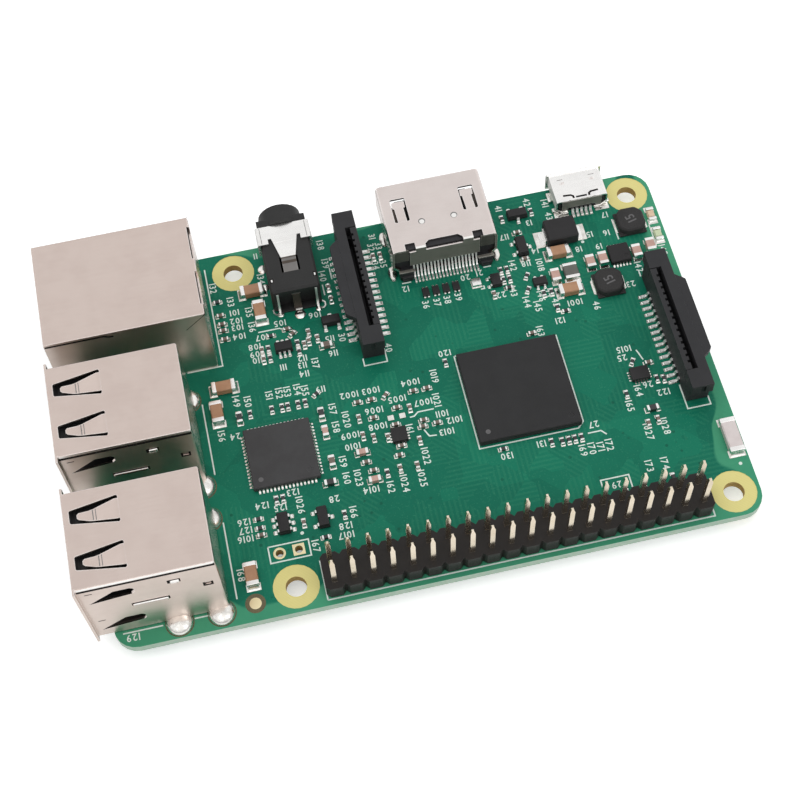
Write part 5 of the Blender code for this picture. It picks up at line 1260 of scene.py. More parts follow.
@dataclass
class SmallPackages:
    """Moulded packages with bent leads, and flat ones with side pads."""

    lead_thick: float = 0.13
    tin_block: Pair = (14.15, 14.6)
    bare_pads: tuple[Pair, ...] = ((-2.15, -3.6), (-0.55, -3.6))
    MOULDED = (
        (22.6, 24.6, 90, (1.4, 2.9, 1.0), (0.0,), (-0.95, 0.95), 0.62, 0.4),
        (21.85, 19.0, 0, (1.5, 3.0, 1.05), (-0.9, 0.9), (0.0,), 0.62, 0.4),
        (16.9, 14.3, 0, (1.4, 2.0, 0.8), (-0.65, 0.65), (0.0,), 0.5, 0.34),
        (-19.0, -15.7, 0, (1.5, 2.9, 1.05), (-0.95, 0.0, 0.95), (-0.95, 0.0, 0.95), 0.62, 0.4),
        (-13.85, -16.0, 0, (1.4, 2.9, 1.0), (-0.95, 0.95), (0.0,), 0.62, 0.4),
        (-14.2, 10.5, -90, (1.5, 2.4, 1.0), (-0.65, 0.0, 0.65), (-0.65, 0.0, 0.65), 0.6, 0.3),
        (-7.0, 13.2, -90, (1.4, 2.6, 1.0), (0.0,), (-0.95, 0.95), 0.62, 0.4),
        (22.9, 12.7, 90, (1.3, 2.0, 0.7), (-0.5, 0.5), (-0.5, 0.5), 0.4, 0.28),
    )
    LEADLESS = (
        (-1.6, -6.5, (2.1, 2.1, 0.75), (4, 4), 0.42),
        (32.1, -4.9, (2.5, 1.9, 0.75), (4, 5), 0.4),
    )

    def lead(self, reach: float, tall: float, wide: float) -> Form:
        """One bent lead that leaves a body towards +x and lands on its pad.

        Args:
            reach: how far its foot goes.
            tall: height at which it leaves the body.
            wide: width of the lead.

        Returns:
            The form, with the body's side at x 0.
        """
        low = self.lead_thick / 2 + 0.03
        path = [(-0.15, tall), (reach * 0.22, tall), (reach * 0.42, tall * 0.55), (reach * 0.52, low), (reach, low)]
        form = ribbon(path, self.lead_thick, wide, Coat.LEAD)
        form.add(block((reach * 0.75, wide + 0.16, 0.04), Coat.SOLDER, 0.015, 1), spot(reach * 0.78, 0))
        return form.add(fillet(wide * 0.9, 0.14, 0.16), spot(reach, 0, 0.02))

    def package(
        self, size: Size, left: Sequence[float], right: Sequence[float], reach: float = 0.62, wide: float = 0.4
    ) -> Form:
        """A moulded body with leads on its two long sides.

        Args:
            size: length across the leads, width and height of the body.
            left: places of the leads along the side at -x.
            right: places of the leads along the side at +x.
            reach: how far each foot goes.
            wide: width of a lead.

        Returns:
            The form, standing on the board.
        """
        long, broad, half = size[0], size[1], size[2] / 2
        form = Form().add(block((long, broad, half), Coat.DARK_RESIN, 0.04, 1), spot(0, 0, 0.08))
        top = block((long, broad, half), Coat.DARK_RESIN, 0.05, 2, (long * 0.86, broad * 0.93))
        form.add(top, spot(0, 0, 0.06 + half))
        lead = self.lead(reach, half, wide)
        for places, x, turn in ((left, -long / 2, 180), (right, long / 2, 0)):
            for y in places:
                form.add(lead, spot(x, y, 0, turn))
        return form

    def flat_package(self, size: Size, counts: tuple[int, int], pitch: float) -> Form:
        """A leadless body with solder pads along its sides.

        Args:
            size: length, width and height of the body.
            counts: pads on each x side and on each y side.
            pitch: spacing of the pads.

        Returns:
            The form, standing on the board.
        """
        form = Form().add(block(size, Coat.DARK_RESIN, 0.04, 2), spot(0, 0, 0.04))
        pad = block((0.42, pitch * 0.55, 0.1), Coat.SOLDER, 0.03, 1)
        for axis, turn in product((0, 1), (0, 180)):
            for along in row(counts[axis], pitch):
                form.add(pad, spot(0, 0, 0, turn + 90 * axis) @ spot(size[axis] / 2 + 0.12, along))
        return form

    def build(self) -> None:
        """Set the packages on the board, then the tin block and two bare pads."""
        form = Form()
        for x, y, turn, *sizes in self.MOULDED:
            form.add(self.package(*sizes), spot(x, y, 0, turn))
        for x, y, *sizes in self.LEADLESS:
            form.add(self.flat_package(*sizes), spot(x, y))
        form.piece("small_packages", Slot.CHIP_RESIN)
        tin = Form().add(block((1.25, 1.2, 0.6), Coat.BRIGHT, 0.06), spot(*self.tin_block, 0.04))
        tin.add(block((1.5, 1.4, 0.05), Coat.SOLDER, 0.02, 1), spot(*self.tin_block))
        for place in self.bare_pads:
            tin.add(block((0.85, 0.8, 0.16), Coat.SOLDER, 0.06), spot(*place))
        tin.piece("filter_block", Slot.BRIGHT_TIN)


@dataclass
class MainChips:
    """Processor, hub chip and power chip, with their pads."""

    hub: Pair = (-17.45, -5.75)
    hub_half: float = 4.5
    hub_count: int = 16
    pitch: float = 0.5
    power: Pair = (34.95, 14.55)
    power_half: float = 1.5
    power_count: int = 6
    power_pitch: float = 0.46
    hub_mark: Pair = (-20.75, -9.05)
    processor_mark: Pair = (9.9, -9.2)

    def build(self) -> None:
        """Dress the chips, solder their pads and mark their first pins."""
        # the hub chip takes a lighter copy of the chip resin: a painted sheen
        dress_each(0.04, processor=Coat.RESIN, memory_chip=Coat.RESIN, network_hub_chip=Coat.HUB)
        dress_each(0.04, power_chip=Coat.DARK_RESIN, wireless_chip=Coat.DARK_RESIN)
        pad = Form().add(block((0.5, 0.27, 0.07), Coat.LEAD, 0.025, 1), spot(0.2, 0))
        pad.add(fillet(0.25, 0.34, 0.3), spot(0.04, 0, 0.05))
        pads = Form()
        for turn, along in product((0, 90, 180, 270), row(self.hub_count, self.pitch)):
            pads.add(pad, spot(*self.hub, 0, turn) @ spot(self.hub_half, along))
        for turn, along in product((90, -90), row(self.power_count, self.power_pitch)):
            pads.add(pad, spot(*self.power, 0, turn) @ spot(self.power_half, along))
        pads.piece("chip_pads", Slot.BRIGHT_TIN)
        marks = Form()
        dot = turned([(0.34, INK_FOOT), (0.34, LINE_TOP), (0.0, LINE_TOP)], Coat.GREY_MARK, 24)
        for node, place in (("network_hub_chip", self.hub_mark), ("processor", self.processor_mark)):
            marks.add(dot, spot(*place, extent(node)[1].z))
        marks.piece("first_pin_marks", Slot.CHIP_RESIN)


@dataclass
class PowerParts:
    """Inductors, choke, diode, lamps, antenna and the big capacitors."""

    lip: float = 0.02
    body_half: float = 2.27
    mark_turn: float = 105.0
    capacitor_end: Pair = (0.62, 0.55)
    ENDS = (
        ("power_lamp", 0.45, 0.3), ("activity_lamp", 0.45, 0.3), ("chip_antenna", 0.7, 0.5), ("choke", 0.5, 0.3),
        ("fuse", 0.6, 0.4),
    )

    def build(self) -> None:
        """Dress the solids and give them tinned ends."""
        dress_each(0.08, inductor_front=Coat.POWDER, inductor_rear=Coat.POWDER)
        dress_each(0.05, choke=Coat.FERRITE, power_lamp=Coat.AMBER, activity_lamp=Coat.GREEN_LENS)
        dress_each(0.05, fuse=Coat.FUSE)
        dress_each(0.06, chip_antenna=Coat.WHITE_CERAMIC)
        names = sorted(name for name in frame["nodes"] if name.startswith("capacitor_"))
        dress_each(0.05, **dict.fromkeys(names, Coat.TAN))
        rows = (("capacitor_ends", [(name, *self.capacitor_end) for name in names]), ("lamp_ends", self.ENDS))
        for piece, solids in rows:
            form = Form()
            for name, cap, climb in solids:
                self.end_caps(form, name, cap, climb)
            form.piece(piece, Slot.BRIGHT_TIN)
        self.feet()

    def feet(self) -> None:
        """Dress the diode, and give the diode and the inductors pads, and the inductors their number."""
        low, high = extent("input_diode")
        middle = (low + high) / 2

        def kind(face: Vector, normal: Vector) -> int:
            """Tell the diode's leads from its body by how far out they are."""
            return 1 if abs(face.x - middle.x) > self.body_half else 0

        dress("input_diode", Coat.DARK_RESIN, Coat.BRIGHT, rule=kind, bevel=0.04)
        feet, marks = Form(), Form()
        value = number("15", 1.35)
        value.finishes = [Coat.GREY_MARK] * len(value.faces)
        for node in ("inductor_front", "inductor_rear"):
            x, y, _ = sum(extent(node), Vector()) / 2
            marks.add(value, spot(x, y, extent(node)[1].z, self.mark_turn))
            for turn in (0, 180):
                end = spot(x, y, 0, turn)
                feet.add(block((0.7, 2.4, 0.12), Coat.SOLDER, 0.04), end @ spot(1.9, 0))
                feet.add(fillet(2.2, 0.35, 0.3), end @ spot(2.0, 0, 0.03))
        for turn in (0, 180):
            end = spot(middle.x, middle.y, 0, turn) @ spot(high.x - middle.x - 0.1, 0)
            feet.add(block((1.5, 2.7, 0.06), Coat.SOLDER, 0.02, 1), end)
        feet.piece("power_pads", Slot.BRIGHT_TIN)
        marks.piece("inductor_marks", Slot.CHIP_RESIN)

    def end_caps(self, form: Form, node: str, cap: float, climb: float) -> None:
        """Add tinned ends, pads and fillets to both ends of a solid.

        Args:
            form: form to add to.
            node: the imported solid.
            cap: length of each end.
            climb: share of the height that solder climbs.
        """
        low, high = extent(node)
        size, middle = high - low, (low + high) / 2
        long, wide = max(size.x, size.y), min(size.x, size.y)
        tall = size.z + self.lip + 0.05
        place = under if low.z < -THICK / 2 else spot
        base = place(middle.x, middle.y, turn=0 if size.x >= size.y else 90)
        tin = block((cap, wide + 2 * self.lip, tall), Coat.BRIGHT, 0.09, 3)
        pad = block((cap + 0.45, wide + 0.3, 0.04), Coat.SOLDER, 0.015, 1)
        for side in (0, 180):
            end = base @ spot(0, 0, 0, side) @ spot(long / 2, 0)
            form.add(tin, end @ spot(self.lip - cap / 2, 0)).add(pad, end @ spot(0.22 - cap / 2, 0))
            form.add(fillet(wide * 0.95, 0.4, tall * climb), end @ spot(0, 0, 0.02))


@dataclass
class HostPorts:
    """The two stacked host ports."""

    centres: Pair = (-19.0, -1.0)
    mouth: float = -44.6
    rear: float = -27.6
    half: float = 6.55
    top: float = 15.05
    spring: float = 3.05
    contact_levels: Pair = (4.4, 10.6)
    contact_along: tuple[float, ...] = (-3.5, -1.25, 1.25, 3.5)
    contact_inset: float = 5.2
    DOMES = ((-34.2, -26.0), (-28.8, -25.9), (-28.45, 5.25), (-28.45, -7.95), (-28.45, -12.75))
    DOME = ((1.72, 0.0), (1.76, 0.12), (1.7, 0.38), (1.5, 0.7), (1.16, 0.98), (0.7, 1.18), (0.34, 1.26), (0.0, 1.28))
    SKIRT = ((1.86, -0.005), (1.86, 0.008), (0.0, 0.008))
    CONTACT = ((-4.0, 0.0), (3.2, 0.0), (3.7, 0.12), (4.3, 0.12))
    NOSES = (
        ((0.8, 11.06, 1.74), Coat.CORE, 0.25, 3, (0.9, 0.0, 3.43), (0.9, 0.0, 12.1)),
        ((0.22, 12.3, 3.3), Coat.SHELL, 0.08, 2, (0.2, 0.0, 5.9)),
        ((1.0, 12.2, 3.0), Coat.CORE, 0.1, 2, (0.85, 0.0, 6.05)),
    )
    # dark lines on both walls, as x from the mouth and height: the seam under the rolled top edge, short lines by the
    # mouth, and painted shadow round the rib, the lance and the dimple
    SEAMS = (
        (((0.35, 14.4), (16.85, 14.4)), 0.5),
        (((1.1, 13.3), (2.0, 13.3)), 0.16),
        (((1.1, 4.9), (2.0, 4.9)), 0.16),
        (((5.8, 7.75), (10.5, 7.75)), 0.84),
        (((10.8, 12.1), (12.4, 12.1)), 0.9),
        (((14.9, 9.8), (14.9, 8.85), (15.9, 8.85), (15.9, 9.8)), 0.26),
    )
    # thin dark lines where the spring tongues bend: painted shade
    BENDS = ((3.58, 0.55, 1.42), (3.95, 0.485, 1.54))
    # raised ribs, in the painted highlight finish
    RIBS = ((8.15, 7.5, (4.3, 0.4, 0.5)), (11.7, 11.8, (1.1, 0.4, 0.6)))

    def build(self) -> None:
        """Dress shells and cores, then add seam and painted shadow lines, painted shade where the tongues bend, ribs
        with a painted highlight, contacts, noses and solder domes.
        """
        seams, bends, contacts, noses, solder = (Form() for _ in range(5))
        strip = ribbon(self.CONTACT, 0.14, 0.9, Coat.GOLD)
        for end, y in zip(("front", "rear"), self.centres):
            self.shell(end, y, seams, bends)
            dress("host_port_core_" + end, Coat.CORE, bevel=0.04)
            low, _ = extent("host_port_core_" + end)
            for level, along in product(self.contact_levels, self.contact_along):
                contacts.add(strip, spot(low.x + self.contact_inset, y + along, level))
            noses.blocks(self.NOSES, spot(self.mouth, y))
        skirt = turned(self.SKIRT, Coat.FLUX, 32)
        for place in self.DOMES:
            solder.add(skirt, spot(*place)).add(turned(self.DOME, Coat.SOLDER, 28), spot(*place))
        seams.piece("host_port_seams_and_shadows", Slot.BLACK_PLASTIC)
        bends.piece("host_port_light_and_shade", Slot.TIN_PLATE)
        contacts.piece("host_port_contacts", Slot.BRIGHT_TIN)
        noses.piece("host_port_noses", Slot.BLACK_PLASTIC)
        solder.piece("shell_solder", Slot.BRIGHT_TIN)

    def shell(self, end: str, y: float, seams: Form, bends: Form) -> None:
        """Dress one shell, with a painted shade inside and a painted highlight on its rolled top edges, and draw its
        dark seam and painted shadow lines, painted shade where its tongues bend and ribs in the painted highlight
        finish.

        Args:
            end: end of the board that it stands at, front or rear.
            y: its middle.
            seams: form that takes the dark seam lines and the painted shadow lines.
            bends: form that takes the painted shade where the tongues bend and the ribs in the painted highlight
                finish.
        """
        inner = inner_faces((self.mouth, y - self.half, 0.05), (self.rear, y + self.half, self.top), 0)
        # inner faces take a painted shade, rolled top edges a painted highlight
        finishes = (Coat.SHELL, Coat.INSIDE, Coat.ROLL, Coat.SIDE)
        dress("host_port_shell_" + end, *finishes, rule=rolled_edges(inner, self.top))
        for side in (-1, 1):
            wall = y + side * self.half
            for along, drop, wide in self.BENDS:
                line = block((0.14, wide, 0.03), Coat.DIP, 0.01, 1)
                bends.add(line, spot(self.mouth + along, y + side * self.spring, self.top - drop - 0.02))
            for path, wide in self.SEAMS:
                seams.add(upright([(self.mouth + x, z) for x, z in path], wide, Coat.GAP, wall, side))
            for along, level, size in self.RIBS:
                bends.add(block(size, Coat.ROLL, 0.14, 3), spot(self.mouth + along, wall, level))


@dataclass
class NetworkJack:
    """The network jack with its shell, core, lamps and contact wires."""

    low: Size = (-44.6, 9.8, 0.05)
    high: Size = (-23.4, 25.7, 13.55)
    wires: int = 8
    wire_pitch: float = 1.02
    # dark lines on both side walls, a slit along the top edge and a slanted seam, in the painted shadow finish
    SEAMS = (
        (((-44.5, 13.04), (-36.8, 13.04), (-36.2, 12.7), (-35.6, 12.66)), 0.36),
        (((-23.48, 13.4), (-26.3, 10.6)), 0.1),
    )
    WIRE = ((2.0, 9.4), (2.6, 9.75), (5.0, 8.6), (10.5, 5.2))

    def build(self) -> None:
        """Dress the jack with a painted shade inside, draw its seam lines in painted shadow and string its contacts."""
        # no face counts as a rolled edge here; inner faces take a painted shade
        unrolled = rolled_edges(inner_faces(self.low, self.high, 0), math.inf)
        dress("network_jack_shell", Coat.SHELL, Coat.INSIDE, Coat.ROLL, Coat.SIDE, rule=unrolled)
        dress_each(0.05, network_lamp_front=Coat.GREEN_LENS, network_lamp_rear=Coat.AMBER)
        dress_each(0.05, network_jack_core=Coat.CORE)
        seams, wires = Form(), Form()
        for (wall, side), (path, wide) in product(((self.low[1], -1), (self.high[1], 1)), self.SEAMS):
            seams.add(upright(path, wide, Coat.GAP, wall, side))
        wire = ribbon(self.WIRE, 0.3, 0.42, Coat.GOLD)
        for along in row(self.wires, self.wire_pitch):
            wires.add(wire, spot(self.low[0], (self.low[1] + self.high[1]) / 2 + along))
        seams.piece("network_jack_seams_and_shadows", Slot.BLACK_PLASTIC)
        wires.piece("network_contacts", Slot.BRIGHT_TIN)


@dataclass
class VideoPort:
    """The video port with its row of leads, end blocks, dimples and legs."""

    low: Size = (3.0, 18.2, 0.45)
    high: Size = (18.0, 29.7, 6.25)
    middle: float = 10.5
    leads: int = 19
    pitch: float = 0.5
    lead_place: Pair = (10.55, 18.95)
    end_x: Pair = (4.95, 16.35)
    leg_y: Pair = (18.9, 25.0)
    dimple: Pair = (2.3, 22.6)
    rear_y: float = 18.9
    flap_z: float = 2.0
    LEAD = ((-1.4, 2.15), (0.1, 2.15), (0.35, 2.0), (1.05, 0.28), (1.25, 0.12), (2.0, 0.1))
    END = (
        ((2.0, 1.5, 1.6), Coat.SOCKET, 0.12, 2, (0.0, 18.3, 0.05)),
        ((1.5, 0.5, 0.9), Coat.SOCKET, 0.08, 2, (0.0, 17.5, 0.05)),
        # a strap over each end block, in the painted shade finish
        ((2.3, 0.5, 0.16), Coat.FLAP, 0.06, 2, (0.0, 17.85, 1.62)),
    )
    # plates at the rear corners: painted shade where the shell's corners curve down
    CORNERS = (((2.0, 0.14, 2.5), Coat.CORNER, 0.05, 2, (6.15, 18.36, 3.55)),)
    # bright strips along the rear top edge: painted highlight
    STRIPS = (((1.35, 0.36, 0.06), Coat.ROLL, 0.02, 2, (3.42, 18.38, 6.21)),)
    # dark ring of each dimple: painted shade; the bright bump in its middle is a painted highlight
    DIP = ((0.52, -0.04), (0.5, LINE_TOP), (0.0, LINE_TOP))
    BUMP = ((0.4, -0.04), (0.36, 0.02), (0.2, 0.04), (0.0, 0.045))
    LEG = ((0.62, 0.0), (0.64, 0.08), (0.56, 0.34), (0.3, 0.52), (0.0, 0.56))

    def face_kind(self, face: Vector, normal: Vector) -> int:
        """Tell the rolled rear edge, 2, which takes a painted highlight, and the flap below it, 3, which takes a
        painted shade, from the inside, 1, and the rest.
        """
        rear = face.y < self.rear_y and normal.y < -0.15 and face.z > self.flap_z
        return (2 if normal.z > 0.15 else 3) if rear else inner_faces(self.low, self.high, 1)(face, normal)

    def build(self) -> None:
        """Dress the port, paint shade and highlights on its shell, corners and dimples, and solder its leads and legs.
        """
        # inner faces and the rear flap take a painted shade, the rolled rear edge a painted highlight
        finishes = (Coat.PALE, Coat.INSIDE, Coat.ROLL, Coat.FLAP)
        dress("video_port_shell", *finishes, rule=self.face_kind)
        dress("video_port_core", Coat.SOCKET, bevel=0.04)
        leads, ends, bends, legs = (Form() for _ in range(4))
        lead = ribbon(self.LEAD, 0.12, 0.24, Coat.LEAD)
        lead.add(block((0.85, 0.28, 0.05), Coat.SOLDER, 0.015, 1), spot(1.75, 0))
        for along in row(self.leads, self.pitch):
            leads.add(lead, spot(*self.lead_place, 0, -90) @ spot(0, along))
        for x in self.end_x:
            ends.blocks(self.END, spot(x, 0))
        ends.pairs(self.CORNERS, spot(self.middle, 0))
        bends.pairs(self.STRIPS, spot(self.middle, 0))
        for side in (-1, 1):
            dimple = spot(self.middle + side * self.dimple[0], self.dimple[1], self.high[2])
            bends.add(turned(self.DIP, Coat.DIP), dimple)
            bends.add(turned(self.BUMP, Coat.LEAD), dimple @ spot(0, -0.08))
        leg = turned(self.LEG, Coat.SOLDER, 24)
        for place in product((self.low[0], self.high[0]), self.leg_y):
            legs.add(leg, spot(*place) @ OVAL)
        leads.piece("video_port_leads", Slot.BRIGHT_TIN)
        ends.piece("video_port_ends", Slot.BLACK_PLASTIC)
        bends.piece("video_port_light_and_shade", Slot.TIN_PLATE)
        legs.piece("video_port_legs", Slot.BRIGHT_TIN)


@dataclass
class PowerPort:
    """The power port with its rear flap, folded tabs, five leads and side pads."""

    centre: float = 31.9
    rear: float = 23.5
    top: float = 2.75
    leads: int = 5
    pitch: float = 0.65
    ARCH = ((-2.9, 2.62), (-2.9, 0.5), (-2.2, 0.5), (-1.95, 1.15), (1.95, 1.15), (2.2, 0.5), (2.9, 0.5), (2.9, 2.62))
    LINES = (
        # a short dark line on the top and dark arcs at the rear corners: painted shade and painted shadow
        (((1.9, 27.35), (2.75, 27.35)), 0.1, Coat.DIP, LINE_TOP),
        (((2.58, 24.5), (1.5, 24.42), (1.18, 24.2), (1.14, 23.8)), 0.3, Coat.GAP, 2 * LINE_TOP),
    )
    LEAD = ((-0.4, 0.62), (0.1, 0.62), (0.35, 0.12), (0.95, 0.1))
    PADS = (
        ((2.1, 1.7, 0.07), Coat.SOLDER, 0.03, 2, (3.0, 0.15)),
        ((1.0, 0.7, 0.55), Coat.SOLDER, 0.16, 3, (3.75, 0.5)),
        ((0.8, 1.6, 0.5), Coat.SOLDER, 0.16, 3, (3.95, 2.9)),
    )
    TABS = (
        ((0.75, 0.5, 0.05), Coat.PALE, 0.02, 2, (2.2, 26.65, 2.71)),
        ((1.6, 1.3, 0.06), Coat.BRIGHT, 0.02, 2, (1.8, 24.2, 2.695)),
    )

    def build(self) -> None:
        """Dress the port, fold its tabs and solder its leads and pads."""
        inner = inner_faces(*extent("power_port_shell"), 1)

        def kind(face: Vector, normal: Vector) -> int:
            """Tell the inside, 1, in painted shade, and the sides, 2, in a matt copy of the tin as painted light, from
            the rest.
            """
            return inner(face, normal) or (2 if abs(normal.x) > 0.7 else 0)

        dress("power_port_shell", Coat.BRIGHT, Coat.INSIDE, Coat.DULL, rule=kind)
        dress("power_port_core", Coat.CORE, bevel=0.03)
        wall = spot(self.centre, self.rear) @ Matrix.Rotation(math.pi / 2, 4, "X")
        # the rear flap takes the painted shade finish
        flap = Form().add(walled(self.ARCH, -0.04, 0.07, Coat.FLAP), wall)
        leads = Form()
        for side, (path, wide, finish, high) in product((-1, 1), self.LINES):
            line = tape([(side * x, y) for x, y in path], wide, finish, LINE_FOOT, high)
            flap.add(line, spot(self.centre, 0, self.top))
        flap.pairs(self.TABS, spot(self.centre, 0))
        leads.pairs(self.PADS, spot(self.centre, self.rear))
        flap.piece("power_port_flap", Slot.BRIGHT_TIN)
        lead = ribbon(self.LEAD, 0.14, 0.36, Coat.LEAD)
        pad = block((0.44, 0.9, 0.05), Coat.SOLDER, 0.02, 1)
        for along in row(self.leads, self.pitch):
            leads.add(lead, spot(self.centre + along, self.rear + 0.05, 0, -90))
            leads.add(pad, spot(self.centre + along, self.rear - 0.65))
        leads.piece("power_port_leads", Slot.BRIGHT_TIN)


@dataclass
class AudioJack:
    """The audio jack with its clip and solder tabs."""

    centre: float = -11.0
    front: float = 16.5
    dip_start: Pair = (21.85, 5.37)
    dip_fall: Pair = (2.2, 0.7)
    strip_x: Pair = (-2.6, 2.8)
    FLANGE = (
        ((6.9, 1.02, 0.55), Coat.BLACK, 0.08, 2, (-11.0, 27.98, 5.02)),
        # dark patches at the clip's two ends, in the painted shadow finish
        ((0.5, 0.75, 0.06), Coat.GAP, 0.02, 1, (-13.95, 18.5, 5.0), (-7.95, 18.35, 5.0)),
        # black plate on the board in the front recess: painted shade where the recess lies in shadow
        ((5.0, 1.25, 0.3), Coat.BLACK, 0.06, 2, (-11.0, 16.8, 0.02)),
    )
    BENDS = (
        # a bright strip at the clip's bend is a painted highlight; thin dark lines along the clip's sides are painted
        # shade
        ((2.16, 0.3, 0.05), Coat.LEAD, 0.02, 2, (-11.0, 22.0, 5.375)),
        ((0.09, 2.7, 0.03), Coat.DIP, 0.01, 1, (-14.2, 25.9, 5.408), (-7.8, 25.9, 5.408)),
        ((0.22, 0.42, 0.1), Coat.LEAD, 0.03, 2, (-13.95, 18.45, 5.0), (-7.95, 18.3, 5.0)),
    )
    # dark lines across the sloping dip: painted shade at its creases
    CREASES = ((21.7, 0.14), (21.05, 0.5))
    STRIP = ((0.0, 4.4), (0.06, 4.3), (0.06, 0.3), (0.2, 0.12), (0.5, 0.1))
    TONGUE = ((-0.85, 2.9), (-0.6, 2.8), (-0.5, 2.2), (-0.2, 1.0), (0.1, 0.45), (0.4, 0.4))
    TONGUE_ENDS = (
        # dark block at the top of the middle tongue: painted shade
        ((1.3, 0.2, 0.2), Coat.DIP, 0.05, 2, (-11.0, 17.2, 2.85)),
        ((0.98, 0.26, 0.24), Coat.LEAD, 0.06, 2, (-10.93, 16.1, 0.38)),
    )
    LUMP = ((0.8, 0.0), (0.82, 0.08), (0.66, 0.26), (0.3, 0.36), (0.0, 0.38))
    LUMPS = ((-13.6, 16.1, 0.6), (-10.94, 15.5, 0.95), (-8.2, 15.85, 0.55), (-14.75, 24.1, 0.9), (-14.9, 21.0, 0.7))
    HOOKS = (
        ((-14.5, 16.9), (-14.45, 16.3), (-14.1, 15.95), (-13.3, 15.85)),
        ((-8.3, 15.8), (-7.5, 15.72), (-7.2, 16.05), (-7.2, 16.6), (-7.6, 16.95)),
    )

    def build(self) -> None:
        """Dress the jack, then add its flange and painted shadows, bend lines in painted highlight and shade, and
        solder tabs.
        """
        dress("audio_jack_body", Coat.BLACK, bevel=0.06)
        dress("audio_jack_clip", Coat.BRIGHT, Coat.DIP, rule=self.clip_kind)
        Form().blocks(self.FLANGE).piece("audio_jack_flange_and_shadows", Slot.BLACK_PLASTIC)
        bends = Form().blocks(self.BENDS)
        run, fall = self.dip_fall
        for y, wide in self.CREASES:
            level = self.dip_start[1] - fall * (self.dip_start[0] - y) / run
            slope = spot(self.centre, y, level) @ Matrix.Rotation(math.atan2(fall, run), 4, "X")
            bends.add(block((2.0, wide, 0.04), Coat.INSIDE, 0.01, 1), slope)
        bends.piece("audio_jack_light_and_shade", Slot.BRIGHT_TIN)
        self.tabs()

    @staticmethod
    def clip_kind(middle: Vector, normal: Vector) -> int:
        """Tell the clip's dip, which slopes down and takes a painted shade, from the rest."""
        return 1 if middle.y < 21.9 and normal.y < -0.2 else 0

    def tabs(self) -> None:
        """Bend the tabs in the front recess and solder them."""
        tabs = Form().blocks(self.TONGUE_ENDS)
        strip = ribbon(self.STRIP, 0.14, 0.3, Coat.LEAD)
        # the middle tongue takes the dark painted shade finish
        tongue = ribbon(self.TONGUE, 0.16, 1.1, Coat.INSIDE)
        for form, dx in ((strip, self.strip_x[0]), (strip, self.strip_x[1]), (tongue, 0.0)):
            tabs.add(form, spot(self.centre + dx, self.front, 0, -90))
        lump = turned(self.LUMP, Coat.SOLDER, 22)
        for x, y, size in self.LUMPS:
            tabs.add(lump, spot(x, y) @ Matrix.Scale(size, 4))
        for path in self.HOOKS:
            tabs.add(tape(path, 0.2, Coat.SOLDER, 0.0, 0.24))
        tabs.piece("audio_jack_tabs", Slot.BRIGHT_TIN)


@dataclass
class FlatSocket:
    """A flat-cable socket with its lifting latch, contacts and pads."""

    name: str
    x: float
    y: float
    turn: float
    count: int = 15
    pitch: float = 1.0
    LEAD = ((1.2, 0.8), (1.65, 0.8), (1.9, 0.16), (2.65, 0.13))
    TIP = ((-0.75, 3.3), (-0.62, 3.9), (-0.5, 3.3), (-0.55, 2.7))

    def build(self) -> None:
        """Dress socket and latch, then add contact tips and pads."""
        dress_each(0.05, **{self.name + part: Coat.SOCKET for part in ("_socket", "_latch")})
        lead = ribbon(self.LEAD, 0.14, 0.42, Coat.LEAD)
        lead.add(block((1.35, 0.52, 0.06), Coat.SOLDER, 0.02, 1), spot(2.3, 0))
        lead.add(fillet(0.4, 0.3, 0.2), spot(2.6, 0, 0.04))
        tip = ribbon(self.TIP, 0.12, 0.3, Coat.GOLD)
        pads = Form()
        for along in row(self.count, self.pitch):
            base = spot(self.x, self.y, 0, self.turn) @ spot(0, along)
            pads.add(lead, base).add(lead, base @ spot(0, 0, 0, 180)).add(tip, base @ spot(0.1, 0))
        pads.piece(self.name + "_socket_pads", Slot.BRIGHT_TIN)


@dataclass
class PinHeader:
    """The pin header with solder cones under the board."""

    x: float = 10.0
    y: float = -24.5
    count: int = 20
    pitch: float = 2.54
    top: float = 2.6
    CONE = ((0.86, 0.0), (0.88, 0.05), (0.72, 0.2), (0.52, 0.55), (0.38, 0.95), (0.0, 1.0))

    def face_kind(self, middle: Vector, normal: Vector) -> int:
        """Tell pins, which stand above and below the strip, from plastic."""
        return 1 if middle.z > self.top + 0.02 or middle.z < 0.02 else 0

    def build(self) -> None:
        """Dress the header and solder its pins."""
        dress("pin_header", Coat.HEADER, Coat.PIN, rule=self.face_kind, bevel=0.04)
        cones = Form()
        cone = turned(self.CONE, Coat.SOLDER, 18)
        for dx, dy in product(row(self.count, self.pitch), row(2, self.pitch)):
            cones.add(cone, under(self.x + dx, self.y + dy))
        cones.piece("header_solder", Slot.BRIGHT_TIN)


